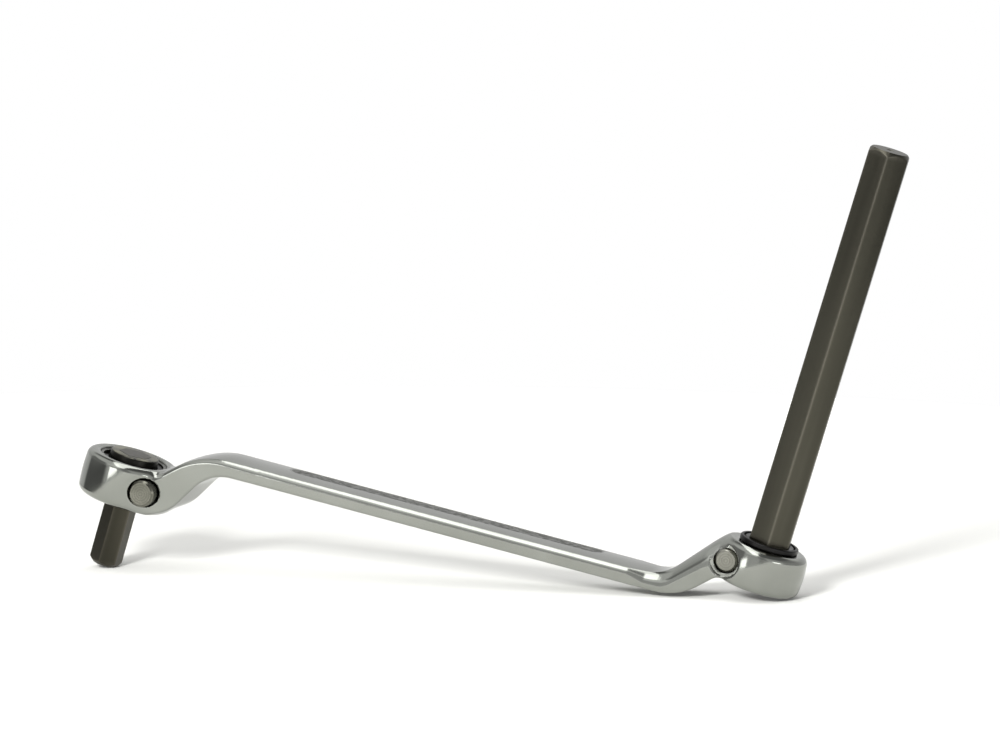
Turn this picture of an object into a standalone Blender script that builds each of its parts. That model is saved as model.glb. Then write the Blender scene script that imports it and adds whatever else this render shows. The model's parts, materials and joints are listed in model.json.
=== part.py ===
"""Ratchet spanner with two hexagon keys.

A cranked flat handle carries a ring head at each end. In each head a toothed gear holds a
hexagon key, and a push-through pin in the neck reverses the ratchet. The spanner stands as
it does on a bench, on the tip of its short key and on the rim of the other head.

Tool frame: +X runs from the short key to the long key, +Z along the long key, Y across the
spanner. Head frame: +Z along the key that the head drives, the neck towards -X.
"""

import math
from dataclasses import dataclass

import bmesh
import bpy
import numpy as np
from mathutils import Matrix, Vector

# Handle and the places of the two heads, in metres.
HEAD_SPACING = 0.1337
HEAD_OFFSET = 0.0278
HANDLE_WIDTH = 0.0120
HANDLE_THICKNESS = 0.0033
HANDLE_EDGE_RADIUS = 0.0010
NECK_EDGE_RADIUS = 0.0030
NECK_STEP = 0.0002
HEAD_EDGE_RADIUS = 0.0009

# Head of the long key.
LONG_HEAD_RADIUS = 0.0086
LONG_HEAD_HEIGHT = 0.0086
LONG_NECK_REACH = 0.0169
LONG_NECK_DROP = 0.0093
LONG_NECK_WIDTH = 0.0116
LONG_FRONT_START = 0.0086
LONG_FRONT_ANGLE_DEG = 51.5
LONG_FRONT_BEND = 0.0070
LONG_FRONT_CORNER = 0.0080
LONG_BACK_START = 0.0075
LONG_BACK_ANGLE_DEG = 46.0
LONG_BACK_CORNER = 0.0130
LONG_KEY_FLATS = 0.0080
LONG_KEY_REACH = 0.0873
LONG_KEY_TURN_DEG = 9.7
LONG_COLLAR_HEIGHT = 0.0011
LONG_PIN_DIAMETER = 0.0048
LONG_PIN_DISTANCE = 0.0063
LONG_PIN_DROP = 0.0003
LONG_PIN_SEAT_WIDTH = 0.0106
LONG_PIN_SEAT_RADIUS = 0.0032
LONG_BACK_HUB_PROUD = 0.0003

# Head of the short key.
SHORT_HEAD_RADIUS = 0.0098
SHORT_HEAD_HEIGHT = 0.0092
SHORT_NECK_REACH = 0.0205
SHORT_NECK_DROP = 0.0102
SHORT_NECK_WIDTH = 0.0126
SHORT_FRONT_START = 0.0113
SHORT_FRONT_ANGLE_DEG = 60.0
SHORT_FRONT_BEND = 0.0090
SHORT_FRONT_CORNER = 0.0090
SHORT_BACK_START = 0.0086
SHORT_BACK_ANGLE_DEG = 45.0
SHORT_BACK_CORNER = 0.0160
SHORT_KEY_FLATS = 0.0060
SHORT_KEY_REACH = 0.0189
SHORT_KEY_TURN_DEG = 3.0
SHORT_COLLAR_HEIGHT = 0.0007
SHORT_PIN_DIAMETER = 0.0055
SHORT_PIN_DISTANCE = 0.0066
SHORT_PIN_DROP = 0.0
SHORT_PIN_SEAT_WIDTH = 0.0122
SHORT_PIN_SEAT_RADIUS = 0.0031
SHORT_BACK_HUB_PROUD = 0.0008

# Ratchet parts that both heads share.
GEAR_TEETH = 36
GEAR_RADIUS = 0.00565
TOOTH_DEPTH = 0.0004
BORE_CLEARANCE = 0.0003
BORE_BEVEL = 0.0011
BORE_BEVEL_DEPTH = 0.0005
LIP_THICKNESS = 0.0015
HUB_RADIUS = 0.0052
BACK_HUB_RADIUS = 0.0051
HUB_CHAMFER = 0.0003
COLLAR_RADIUS = 0.0060
COLLAR_EDGE = 0.0003
SEAL_SECTION = 0.0005
SNAP_RING_DEPTH = 0.0007
SNAP_RING_THICKNESS = 0.0005
SNAP_RING_WIDTH = 0.00105
SNAP_RING_BITE = 0.0004
SNAP_RING_OPENING_DEG = 34.0
WASHER_THICKNESS = 0.0006
WASHER_WIDTH = 0.0005

# Keys and the dowels that lock them.
KEY_TIP_CHAMFER = 0.0012
KEY_BACK_CHAMFER = 0.0005
KEY_BACK_PROUD = 0.0002
KEY_EDGE_RADIUS = 0.0002
TIP_DIMPLE_RADIUS = 0.0009
TIP_DIMPLE_DEPTH = 0.0004
CROSS_PIN_RADIUS = 0.0006

# Reversing pin, ball and spring.
PIN_TRAVEL = 0.0030
PIN_CHAMFER = 0.00045
PAWL_CLEARANCE = 0.00015
BALL_RADIUS = 0.0008
DETENT_DEPTH = 0.0005
DETENT_RIDGE = 0.0001
DETENT_ANGLE_DEG = 33.0
DETENT_HOLE_DEPTH = 0.0090
SPRING_RADIUS = 0.00058
SPRING_WIRE_RADIUS = 0.00014
SPRING_TURNS = 5

# Gaps: between pieces that meet, and round a pin or a bar in its hole.
FACE_GAP = 0.0002
FIT_GAP = 0.00015

# Fineness of the round shapes.
HEAD_STEPS = 48
RING_STEPS = 36
PIN_STEPS = 24
BALL_STEPS = 12
BALL_RINGS = 8
ARC_STEPS = 3
BEND_STEPS = 6
STATION_STEP = 0.0012
COIL_POINTS = 8


@dataclass(frozen=True)
class Neck:
    """Side view of a cranked neck, its front on the side of the key.

    The front leaves the head's face, slopes and turns into the handle. The back slopes from the
    rim of the head's back straight into the handle's corner.
    """

    reach: float
    drop: float
    front_start: float
    front_angle: float
    front_bend: float
    front_corner: float
    back_start: float
    back_angle: float
    back_corner: float


@dataclass(frozen=True)
class Head:
    """One ring head: its own sizes, and the direction that its pin rests pushed to."""

    name: str
    radius: float
    height: float
    flats: float
    reach: float
    turn: float
    collar: float
    pin_radius: float
    pin_distance: float
    pin_drop: float
    seat_width: float
    seat_radius: float
    hub_proud: float
    pin_rest: float
    neck: Neck

    @property
    def back(self):
        """Height of the open back face in the head frame."""
        return -self.height / 2

    @property
    def hub_low(self):
        """Outer face of the gear's back hub."""
        return self.back - self.hub_proud

    @property
    def snap_top(self):
        """Upper face of the snap ring, counted from the back of the head."""
        return self.back + SNAP_RING_DEPTH + FACE_GAP + SNAP_RING_THICKNESS

    @property
    def washer_top(self):
        """Upper face of the thrust washer."""
        return self.snap_top + FACE_GAP + WASHER_THICKNESS

    @property
    def gear_top(self):
        """Upper face of the teeth, just below the lip."""
        return self.height / 2 - LIP_THICKNESS - FACE_GAP

    @property
    def corner_radius(self):
        """Radius of the hexagon through its corners."""
        return self.flats / math.sqrt(3)


LONG_NECK = Neck(
    LONG_NECK_REACH, LONG_NECK_DROP, LONG_FRONT_START, math.radians(LONG_FRONT_ANGLE_DEG),
    LONG_FRONT_BEND, LONG_FRONT_CORNER, LONG_BACK_START, math.radians(LONG_BACK_ANGLE_DEG),
    LONG_BACK_CORNER)
SHORT_NECK = Neck(
    SHORT_NECK_REACH, SHORT_NECK_DROP, SHORT_FRONT_START, math.radians(SHORT_FRONT_ANGLE_DEG),
    SHORT_FRONT_BEND, SHORT_FRONT_CORNER, SHORT_BACK_START, math.radians(SHORT_BACK_ANGLE_DEG),
    SHORT_BACK_CORNER)
LONG_HEAD = Head(
    "long_key", LONG_HEAD_RADIUS, LONG_HEAD_HEIGHT, LONG_KEY_FLATS, LONG_KEY_REACH,
    math.radians(LONG_KEY_TURN_DEG), LONG_COLLAR_HEIGHT, LONG_PIN_DIAMETER / 2,
    LONG_PIN_DISTANCE, LONG_PIN_DROP, LONG_PIN_SEAT_WIDTH, LONG_PIN_SEAT_RADIUS,
    LONG_BACK_HUB_PROUD, PIN_TRAVEL / 2, LONG_NECK)
SHORT_HEAD = Head(
    "short_key", SHORT_HEAD_RADIUS, SHORT_HEAD_HEIGHT, SHORT_KEY_FLATS, SHORT_KEY_REACH,
    math.radians(SHORT_KEY_TURN_DEG), SHORT_COLLAR_HEIGHT, SHORT_PIN_DIAMETER / 2,
    SHORT_PIN_DISTANCE, SHORT_PIN_DROP, SHORT_PIN_SEAT_WIDTH, SHORT_PIN_SEAT_RADIUS,
    SHORT_BACK_HUB_PROUD, -PIN_TRAVEL / 2, SHORT_NECK)

BORE_RADIUS = GEAR_RADIUS + BORE_CLEARANCE
SNAP_RING_RADIUS = BORE_RADIUS + SNAP_RING_BITE
DETENT_TILT = -(math.pi / 2 + math.radians(DETENT_ANGLE_DEG))
CORNER_TO_FLAT = math.pi / 6
CUT_MARGIN = 0.0020


def new_collection(name):
    """Add a collection to the scene."""
    collection = bpy.data.collections.new(name)
    bpy.context.scene.collection.children.link(collection)
    return collection


def add_empty(name, parent, location=(0, 0, 0), rotation=(0, 0, 0)):
    """Add an empty that carries pieces on a shared axis."""
    empty = bpy.data.objects.new(name, None)
    empty.empty_display_size = GEAR_RADIUS
    empty.parent = parent
    empty.location = location
    empty.rotation_euler = rotation
    PARTS.objects.link(empty)
    return empty


def add_mesh(name, mesh, parent, collection, location=(0, 0, 0), rotation=(0, 0, 0)):
    """Add a mesh object under a parent, in the parent's frame."""
    piece = bpy.data.objects.new(name, mesh)
    piece.parent = parent
    piece.location = location
    piece.rotation_euler = rotation
    collection.objects.link(piece)
    if collection is CUTTERS:
        piece.hide_render = True
        piece.display_type = "WIRE"
    return piece


def mesh_from_bmesh(name, shape):
    """Turn a bmesh into a mesh with smooth round faces and sharp corners."""
    bmesh.ops.recalc_face_normals(shape, faces=shape.faces)
    mesh = bpy.data.meshes.new(name)
    shape.to_mesh(mesh)
    shape.free()
    mesh.shade_smooth()
    mesh.set_sharp_from_angle(angle=math.radians(30))
    return mesh


def add_turned(name, profile, steps, parent, collection, closed=False, start_share=0.0, **place):
    """Turn a profile of (radius, height) points, listed from the top down, about Z.

    start_share turns the first facet by that share of a step, so that the corners of a cutter
    fall between those of the piece that it cuts.
    """
    mesh = bpy.data.meshes.new(name)
    count = len(profile)
    edges = [(index, index + 1) for index in range(count - 1)]
    if closed:
        edges.append((count - 1, 0))
    start = 2 * math.pi / steps * start_share
    corners = [(radius * math.cos(start), radius * math.sin(start), height)
               for radius, height in profile]
    mesh.from_pydata(corners, edges, [])
    piece = add_mesh(name, mesh, parent, collection, **place)
    screw = piece.modifiers.new("turn", "SCREW")
    screw.axis = "Z"
    screw.angle = 2 * math.pi
    screw.steps = steps
    screw.render_steps = steps
    screw.use_merge_vertices = True
    screw.merge_threshold = 0.000001
    return piece


def add_prism(name, sides, radii, levels, parent, collection, **place):
    """Extrude a regular polygon whose corners take the given radii in turn.

    Its sides run from the first level to the last and are split at any level between.
    """
    bottom, *splits, top = levels
    shape = bmesh.new()
    ring = bmesh.ops.create_circle(shape, cap_ends=True, segments=sides, radius=1.0)
    for index, corner in enumerate(ring["verts"]):
        corner.co = corner.co.normalized() * radii[index % len(radii)]
        corner.co.z = bottom
    lid = bmesh.ops.extrude_face_region(shape, geom=shape.faces[:])
    raised = [item for item in lid["geom"] if isinstance(item, bmesh.types.BMVert)]
    bmesh.ops.translate(shape, verts=raised, vec=(0, 0, top - bottom))
    for level in splits:
        everything = shape.verts[:] + shape.edges[:] + shape.faces[:]
        bmesh.ops.bisect_plane(shape, geom=everything, plane_co=(0, 0, level), plane_no=(0, 0, 1))
    return add_mesh(name, mesh_from_bmesh(name, shape), parent, collection, **place)


def add_box(name, low, high, parent, collection, **place):
    """Add a box between two opposite corners."""
    shape = bmesh.new()
    bmesh.ops.create_cube(shape, size=1.0)
    middle = (Vector(low) + Vector(high)) / 2
    size = Vector(high) - Vector(low)
    matrix = Matrix.Translation(middle) @ Matrix.Diagonal(size.to_4d())
    bmesh.ops.transform(shape, matrix=matrix, verts=shape.verts)
    return add_mesh(name, mesh_from_bmesh(name, shape), parent, collection, **place)


def combine(piece, operation, *others):
    """Put Boolean modifiers on a piece, one for each of the other objects."""
    for other in others:
        boolean = piece.modifiers.new(other.name, "BOOLEAN")
        boolean.operation = operation
        boolean.solver = "EXACT"
        boolean.object = other


def finish_material(piece, colour, roughness, metallic):
    """Give a piece its own Principled material."""
    material = bpy.data.materials.new(piece.name)
    material.use_nodes = True
    shader = material.node_tree.nodes["Principled BSDF"]
    shader.inputs["Base Color"].default_value = (*colour, 1)
    shader.inputs["Roughness"].default_value = roughness
    shader.inputs["Metallic"].default_value = metallic
    piece.data.materials.append(material)


def chrome(piece):
    """Satin chrome plate."""
    finish_material(piece, (0.62, 0.63, 0.61), 0.25, 1.0)


def gunmetal(piece):
    """Dark brown oxide on hardened steel."""
    finish_material(piece, (0.085, 0.078, 0.062), 0.42, 0.9)


def black_steel(piece):
    """Black oxide."""
    finish_material(piece, (0.02, 0.021, 0.022), 0.45, 0.6)


def bright_steel(piece):
    """Ground and hardened steel."""
    finish_material(piece, (0.42, 0.42, 0.38), 0.3, 1.0)


def black_rubber(piece):
    """Soft black seal."""
    finish_material(piece, (0.015, 0.015, 0.016), 0.7, 0.0)


def arc(centre, radius, start_deg, end_deg, steps):
    """Points on an arc, as (radius, height) pairs, both ends included."""
    angles = [math.radians(start_deg + (end_deg - start_deg) * step / steps)
              for step in range(steps + 1)]
    return [(centre[0] + radius * math.cos(angle), centre[1] + radius * math.sin(angle))
            for angle in angles]


def rounded_line(corners, bends):
    """Points along a line whose inner corners are rounded with the given bends."""
    points = [corners[0]]
    for before, corner, after, bend in zip(corners, corners[1:], corners[2:], bends):
        come = (corner - before).normalized()
        leave = (after - corner).normalized()
        turn = come.angle_signed(leave)
        setback = bend * math.tan(abs(turn) / 2)
        square = Vector((come.y, -come.x))
        for step in range(BEND_STEPS + 1):
            swept = turn * step / BEND_STEPS
            along = bend * math.sin(abs(swept)) - setback
            aside = math.copysign(bend * (1 - math.cos(swept)), turn)
            points.append(corner + come * along + square * aside)
    points.append(corners[-1])
    return points


def meet(first, first_way, second, second_way):
    """Point where two lines cross, each given by a point and a direction."""
    share = (second - first).cross(second_way) / first_way.cross(second_way)
    return first + first_way * share


def neck_corners(head, place, facing, handle, handle_way):
    """Corners of a neck's front and back lines in side view, from inside the head to the handle.

    facing is 1 where the head's key points up in the tool frame and -1 where it points down.
    """
    neck = head.neck
    inner = HUB_RADIUS / 2
    level = head.height / 2 - NECK_STEP
    half = Vector((-handle_way.y, handle_way.x)) * facing * HANDLE_THICKNESS / 2

    def spot(across, height):
        return place + Vector((across, height)) * facing

    def slope(angle):
        return Vector((math.cos(angle), math.sin(angle)))

    front_start = spot(-neck.front_start, level)
    front_end = meet(front_start, slope(neck.front_angle), handle + half, handle_way)
    back_way = slope(neck.back_angle)
    back_rim = spot(-neck.back_start, head.back)
    back_start = meet(back_rim, back_way, spot(-inner, 0), Vector((0, 1)))
    back_end = meet(back_rim, back_way, handle - half, handle_way)
    return [spot(-inner, level), front_start, front_end], [back_start, back_end]


def shank_lines():
    """Upper and lower lines of the handle with both necks in side view, in the tool frame."""
    short_place = Vector((0, 0))
    long_place = Vector((HEAD_SPACING, HEAD_OFFSET))
    short_end = short_place + Vector((SHORT_NECK.reach, SHORT_NECK.drop))
    long_end = long_place - Vector((LONG_NECK.reach, LONG_NECK.drop))
    way = (long_end - short_end).normalized()
    short_front, short_back = neck_corners(SHORT_HEAD, short_place, -1, short_end, way)
    long_front, long_back = neck_corners(LONG_HEAD, long_place, 1, long_end, way)
    upper_bends = (SHORT_NECK.back_corner, LONG_NECK.front_corner, LONG_NECK.front_bend)
    lower_bends = (SHORT_NECK.front_bend, SHORT_NECK.front_corner, LONG_NECK.back_corner)
    return (rounded_line(short_back + long_front[::-1], upper_bends),
            rounded_line(short_front + long_back[::-1], lower_bends))


def longest_stretch(line):
    """Ends of a line's longest straight stretch, which is the handle's."""
    return max(zip(line, line[1:]), key=lambda ends: (ends[1] - ends[0]).length)


def height_along(line, across):
    """Height of a line at each given place along the tool."""
    return np.interp(across, [point.x for point in line], [point.y for point in line])


def shank_sections():
    """Upright rounded rectangles along the necks and at both ends of the straight handle."""
    upper, lower = shank_lines()
    upper_handle = longest_stretch(upper)
    lower_handle = longest_stretch(lower)
    short_end = max(upper_handle[0].x, lower_handle[0].x)
    long_end = min(upper_handle[1].x, lower_handle[1].x)
    first, last = upper[0].x, upper[-1].x
    across = np.concatenate([
        np.linspace(first, short_end, math.ceil((short_end - first) / STATION_STEP)),
        np.linspace(long_end, last, math.ceil((last - long_end) / STATION_STEP))])
    marks = (SHORT_HEAD_RADIUS, short_end, long_end, HEAD_SPACING - LONG_HEAD_RADIUS)
    widths = np.interp(across, marks,
                       (SHORT_NECK_WIDTH, HANDLE_WIDTH, HANDLE_WIDTH, LONG_NECK_WIDTH))
    edges = np.interp(across, marks,
                      (NECK_EDGE_RADIUS, HANDLE_EDGE_RADIUS, HANDLE_EDGE_RADIUS, NECK_EDGE_RADIUS))
    tops = height_along(upper, across)
    bottoms = height_along(lower, across)
    return [shank_section(*station) for station in zip(across, tops, bottoms, widths, edges)]


def shank_section(across, top, bottom, width, edge):
    """Points of one rounded rectangle in the tool frame."""
    middle = (top + bottom) / 2
    edge = min(edge, (top - bottom) / 2 - FACE_GAP)
    points = []
    for corner, (side, rise) in enumerate(((1, 1), (-1, 1), (-1, -1), (1, -1))):
        centre = (side * (width / 2 - edge), middle + rise * ((top - bottom) / 2 - edge))
        points += [(across, sideways, height) for sideways, height
                   in arc(centre, edge, 90 * corner, 90 * (corner + 1), ARC_STEPS)]
    return points


def add_shank(parent):
    """Loft the handle and necks through their unlike sections."""
    shape = bmesh.new()
    rings = [[shape.verts.new(point) for point in section] for section in shank_sections()]
    for ring, following in zip(rings, rings[1:]):
        for index in range(len(ring)):
            onward = (index + 1) % len(ring)
            shape.faces.new((ring[index], ring[onward], following[onward], following[index]))
    shape.faces.new(rings[0])
    shape.faces.new(rings[-1])
    return add_mesh("spanner_body", mesh_from_bmesh("spanner_body", shape), parent, PARTS)


def add_head_disc(head, parent):
    """Turned blank of a ring head, to be joined to the handle."""
    edge = HEAD_EDGE_RADIUS
    top = head.height / 2
    outer = head.radius - edge
    profile = [(0, top)]
    profile += arc((outer, top - edge), edge, 90, 0, ARC_STEPS)
    profile += arc((outer, edge - top), edge, 0, -90, ARC_STEPS)
    profile.append((0, -top))
    return add_turned(f"{head.name}_head_blank", profile, HEAD_STEPS, parent, CUTTERS,
                      start_share=0.2)


def add_chamber(head, parent):
    """Cutter for the gear bore: lip with its seal groove, snap ring groove, bevelled mouth."""
    top = head.height / 2
    lip_hole = HUB_RADIUS + FIT_GAP
    seal_outer = lip_hole + SEAL_SECTION + FIT_GAP
    seal_middle = top - LIP_THICKNESS / 2
    seal_half = SEAL_SECTION / 2 + FIT_GAP
    groove_low = head.back + SNAP_RING_DEPTH
    groove_high = head.snap_top + FACE_GAP
    groove_radius = SNAP_RING_RADIUS + FACE_GAP
    flare = BORE_BEVEL / BORE_BEVEL_DEPTH
    profile = [
        (0, top + CUT_MARGIN),
        (lip_hole, top + CUT_MARGIN),
        (lip_hole, seal_middle + seal_half),
        (seal_outer, seal_middle + seal_half),
        (seal_outer, seal_middle - seal_half),
        (lip_hole, seal_middle - seal_half),
        (lip_hole, top - LIP_THICKNESS),
        (BORE_RADIUS, top - LIP_THICKNESS),
        (BORE_RADIUS, groove_high),
        (groove_radius, groove_high),
        (groove_radius, groove_low),
        (BORE_RADIUS, groove_low),
        (BORE_RADIUS, head.back + BORE_BEVEL_DEPTH),
        (BORE_RADIUS + BORE_BEVEL + CUT_MARGIN * flare, head.back - CUT_MARGIN),
        (0, head.back - CUT_MARGIN),
    ]
    return add_turned(f"{head.name}_chamber", profile, HEAD_STEPS, parent, CUTTERS,
                      start_share=0.5)


def pin_place(head):
    """Middle of the reversing pin's bore in the head frame."""
    return Vector((-head.pin_distance, 0, -head.pin_drop))


def add_pin_bore(head, parent):
    """Cutter for the pin's bore and the flat round seats at its two ends."""
    bore = head.pin_radius + FIT_GAP
    seat = head.seat_width / 2
    far = head.radius + CUT_MARGIN
    profile = [
        (0, far),
        (head.seat_radius, far),
        (head.seat_radius, seat),
        (bore + FIT_GAP, seat),
        (bore, seat - FIT_GAP),
        (bore, FIT_GAP - seat),
        (bore + FIT_GAP, -seat),
        (head.seat_radius, -seat),
        (head.seat_radius, -far),
        (0, -far),
    ]
    return add_turned(f"{head.name}_pin_bore", profile, PIN_STEPS, parent, CUTTERS,
                      location=pin_place(head), rotation=(math.pi / 2, 0, 0))


def add_detent_hole(head, parent):
    """Cutter for the blind hole that holds the ball and its spring."""
    radius = BALL_RADIUS + FIT_GAP
    profile = [(0, DETENT_HOLE_DEPTH), (radius, DETENT_HOLE_DEPTH), (radius, 0), (0, 0)]
    return add_turned(f"{head.name}_detent_hole", profile, PIN_STEPS // 2, parent, CUTTERS,
                      location=pin_place(head), rotation=(0, DETENT_TILT, 0))


def add_body(tool, head_empties):
    """Forged body: handle and necks joined to both heads, then bored."""
    body = add_shank(tool)
    for head, empty in head_empties:
        combine(body, "UNION", add_head_disc(head, empty))
    for head, empty in head_empties:
        combine(body, "DIFFERENCE", add_chamber(head, empty), add_pin_bore(head, empty),
                add_detent_hole(head, empty))
    chrome(body)


def cross_pin_height(head):
    """Height of the dowel's axis, midway along the back hub."""
    return (head.hub_low + head.washer_top) / 2


def add_cross_hole(head, owner, parent):
    """Cutter for the dowel's hole through a gear or a key."""
    radius = CROSS_PIN_RADIUS + FIT_GAP
    far = GEAR_RADIUS + CUT_MARGIN
    profile = [(0, far), (radius, far), (radius, -far), (0, -far)]
    return add_turned(f"{head.name}_{owner}_cross_hole", profile, PIN_STEPS // 2, parent, CUTTERS,
                      location=(0, 0, cross_pin_height(head)),
                      rotation=(math.pi / 2, 0, head.turn + CORNER_TO_FLAT))


def add_gear(head, parent):
    """Ratchet gear: teeth between a drive hub and a back hub, bored to a hexagon."""
    tooth_low = head.washer_top + FACE_GAP
    radii = (GEAR_RADIUS, GEAR_RADIUS - TOOTH_DEPTH)
    gear = add_prism(f"{head.name}_gear", 2 * GEAR_TEETH, radii, (tooth_low, head.gear_top),
                     parent, PARTS)
    hub_top = head.height / 2 + head.collar - HUB_CHAMFER / 2
    hub_low = head.hub_low
    middle = (tooth_low + head.gear_top) / 2
    hub_profile = [
        (0, hub_top),
        (HUB_RADIUS - HUB_CHAMFER, hub_top),
        (HUB_RADIUS, hub_top - HUB_CHAMFER),
        (HUB_RADIUS, middle),
        (BACK_HUB_RADIUS, middle),
        (BACK_HUB_RADIUS, hub_low + HUB_CHAMFER),
        (BACK_HUB_RADIUS - HUB_CHAMFER, hub_low),
        (0, hub_low),
    ]
    hub = add_turned(f"{head.name}_hub", hub_profile, RING_STEPS, parent, CUTTERS)
    combine(gear, "UNION", hub)
    bore_radius = head.corner_radius + FIT_GAP * 2 / math.sqrt(3)
    bore_levels = (hub_low - CUT_MARGIN, hub_top + CUT_MARGIN)
    bore = add_prism(f"{head.name}_hex_bore", 6, (bore_radius,), bore_levels, parent, CUTTERS,
                     rotation=(0, 0, head.turn))
    combine(gear, "DIFFERENCE", bore, add_cross_hole(head, "gear", parent))
    black_steel(gear)


def add_key(head, parent):
    """Hexagon bar with turned chamfers at both ends and a centre dimple in its tip.

    Its flats are split where they leave the collar, so that the free stretch has its own faces.
    """
    low = head.hub_low - KEY_BACK_PROUD
    free = head.height / 2 + head.collar + FACE_GAP
    key = add_prism(head.name, 6, (head.corner_radius,), (low, free, head.reach), parent, PARTS,
                    rotation=(0, 0, head.turn))
    bevel = key.modifiers.new("rounded edges", "BEVEL")
    bevel.width = KEY_EDGE_RADIUS
    bevel.segments = 2
    bevel.limit_method = "ANGLE"
    bevel.angle_limit = math.radians(50)
    widest = head.corner_radius + KEY_EDGE_RADIUS
    tip = widest - KEY_TIP_CHAMFER
    back = widest - KEY_BACK_CHAMFER
    envelope_profile = [
        (0, head.reach),
        (tip, head.reach),
        (widest, head.reach - KEY_TIP_CHAMFER),
        (widest, low + KEY_BACK_CHAMFER),
        (back, low),
        (0, low),
    ]
    envelope = add_turned(f"{head.name}_envelope", envelope_profile, RING_STEPS, parent, CUTTERS)
    dimple_profile = [
        (0, head.reach + CUT_MARGIN),
        (TIP_DIMPLE_RADIUS, head.reach + CUT_MARGIN),
        (TIP_DIMPLE_RADIUS, head.reach),
        (0, head.reach - TIP_DIMPLE_DEPTH),
    ]
    dimple = add_turned(f"{head.name}_dimple", dimple_profile, PIN_STEPS // 2, parent, CUTTERS,
                        start_share=0.3)
    combine(key, "INTERSECT", envelope)
    combine(key, "DIFFERENCE", dimple, add_cross_hole(head, "key", parent))
    gunmetal(key)


def add_cross_pin(head, parent):
    """Dowel through the back hub and the key."""
    half = BACK_HUB_RADIUS - FACE_GAP
    chamfer = CROSS_PIN_RADIUS / 3
    profile = [
        (0, half),
        (CROSS_PIN_RADIUS - chamfer, half),
        (CROSS_PIN_RADIUS, half - chamfer),
        (CROSS_PIN_RADIUS, chamfer - half),
        (CROSS_PIN_RADIUS - chamfer, -half),
        (0, -half),
    ]
    pin = add_turned(f"{head.name}_cross_pin", profile, PIN_STEPS // 2, parent, PARTS,
                     location=(0, 0, cross_pin_height(head)),
                     rotation=(math.pi / 2, 0, head.turn + CORNER_TO_FLAT))
    bright_steel(pin)


def add_collar(head, parent):
    """Black dust collar on the drive hub, just clear of the head's face."""
    inner = HUB_RADIUS + FIT_GAP
    low = head.height / 2 + FACE_GAP
    high = head.height / 2 + head.collar
    edge = min(COLLAR_EDGE, (high - low) / 2)
    profile = [(inner, high)]
    profile += arc((COLLAR_RADIUS - edge, high - edge), edge, 90, 0, ARC_STEPS)
    profile += [(COLLAR_RADIUS, low), (inner, low)]
    collar = add_turned(f"{head.name}_collar", profile, RING_STEPS, parent, PARTS, closed=True)
    black_steel(collar)


def add_seal(head, parent):
    """Seal ring of round section in the groove of the lip."""
    half = SEAL_SECTION / 2
    centre = (HUB_RADIUS + FIT_GAP + half, head.height / 2 - LIP_THICKNESS / 2)
    profile = arc(centre, half, 90, -270, 2 * ARC_STEPS)[:-1]
    seal = add_turned(f"{head.name}_seal", profile, RING_STEPS, parent, PARTS, closed=True)
    black_rubber(seal)


def add_washer(head, parent):
    """Thrust washer between the gear and the snap ring."""
    outer = BORE_RADIUS - FACE_GAP
    inner = outer - WASHER_WIDTH
    high = head.washer_top
    low = high - WASHER_THICKNESS
    profile = [(outer, high), (outer, low), (inner, low), (inner, high)]
    washer = add_turned(f"{head.name}_thrust_washer", profile, RING_STEPS, parent, PARTS,
                        closed=True)
    bright_steel(washer)


def add_snap_ring(head, parent):
    """Open retaining ring, a flat outline extruded, with its opening away from the neck."""
    half_opening = SNAP_RING_OPENING_DEG / 2
    outer = arc((0, 0), SNAP_RING_RADIUS, half_opening, 360 - half_opening, RING_STEPS)
    inner = arc((0, 0), SNAP_RING_RADIUS - SNAP_RING_WIDTH, 360 - half_opening, half_opening,
                RING_STEPS)
    outline = bpy.data.curves.new(f"{head.name}_snap_ring", "CURVE")
    outline.dimensions = "2D"
    outline.fill_mode = "BOTH"
    outline.extrude = SNAP_RING_THICKNESS / 2
    spline = outline.splines.new("POLY")
    spline.points.add(len(outer + inner) - 1)
    for point, (across, along) in zip(spline.points, outer + inner):
        point.co = (across, along, 0, 1)
    spline.use_cyclic_u = True
    middle = head.snap_top - SNAP_RING_THICKNESS / 2
    ring = add_mesh(f"{head.name}_snap_ring", outline, parent, PARTS, location=(0, 0, middle))
    black_steel(ring)


def detent_distance(head):
    """Distance of the ball's centre from the pin's axis."""
    return head.pin_radius - DETENT_DEPTH + FIT_GAP + BALL_RADIUS


def add_detent_track(head, pin):
    """Cutter for the ball's track along the pin: a seat at either end, a low ridge between."""
    seat = BALL_RADIUS + FIT_GAP
    ridge = seat - DETENT_RIDGE
    half = PIN_TRAVEL / 2
    crossing = math.degrees(math.acos(ridge / seat))
    profile = arc((0, half), seat, 90, -crossing, ARC_STEPS)
    profile += arc((0, -half), seat, crossing, -90, ARC_STEPS)
    profile[0] = (0, half + seat)
    profile[-1] = (0, -half - seat)
    reach = detent_distance(head)
    tilt = math.radians(DETENT_ANGLE_DEG)
    place = (-reach * math.cos(tilt), 0, -reach * math.sin(tilt))
    return add_turned(f"{head.name}_detent_track", profile, PIN_STEPS // 2, pin, CUTTERS,
                      location=place, rotation=(math.pi / 2, 0, 0))


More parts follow.
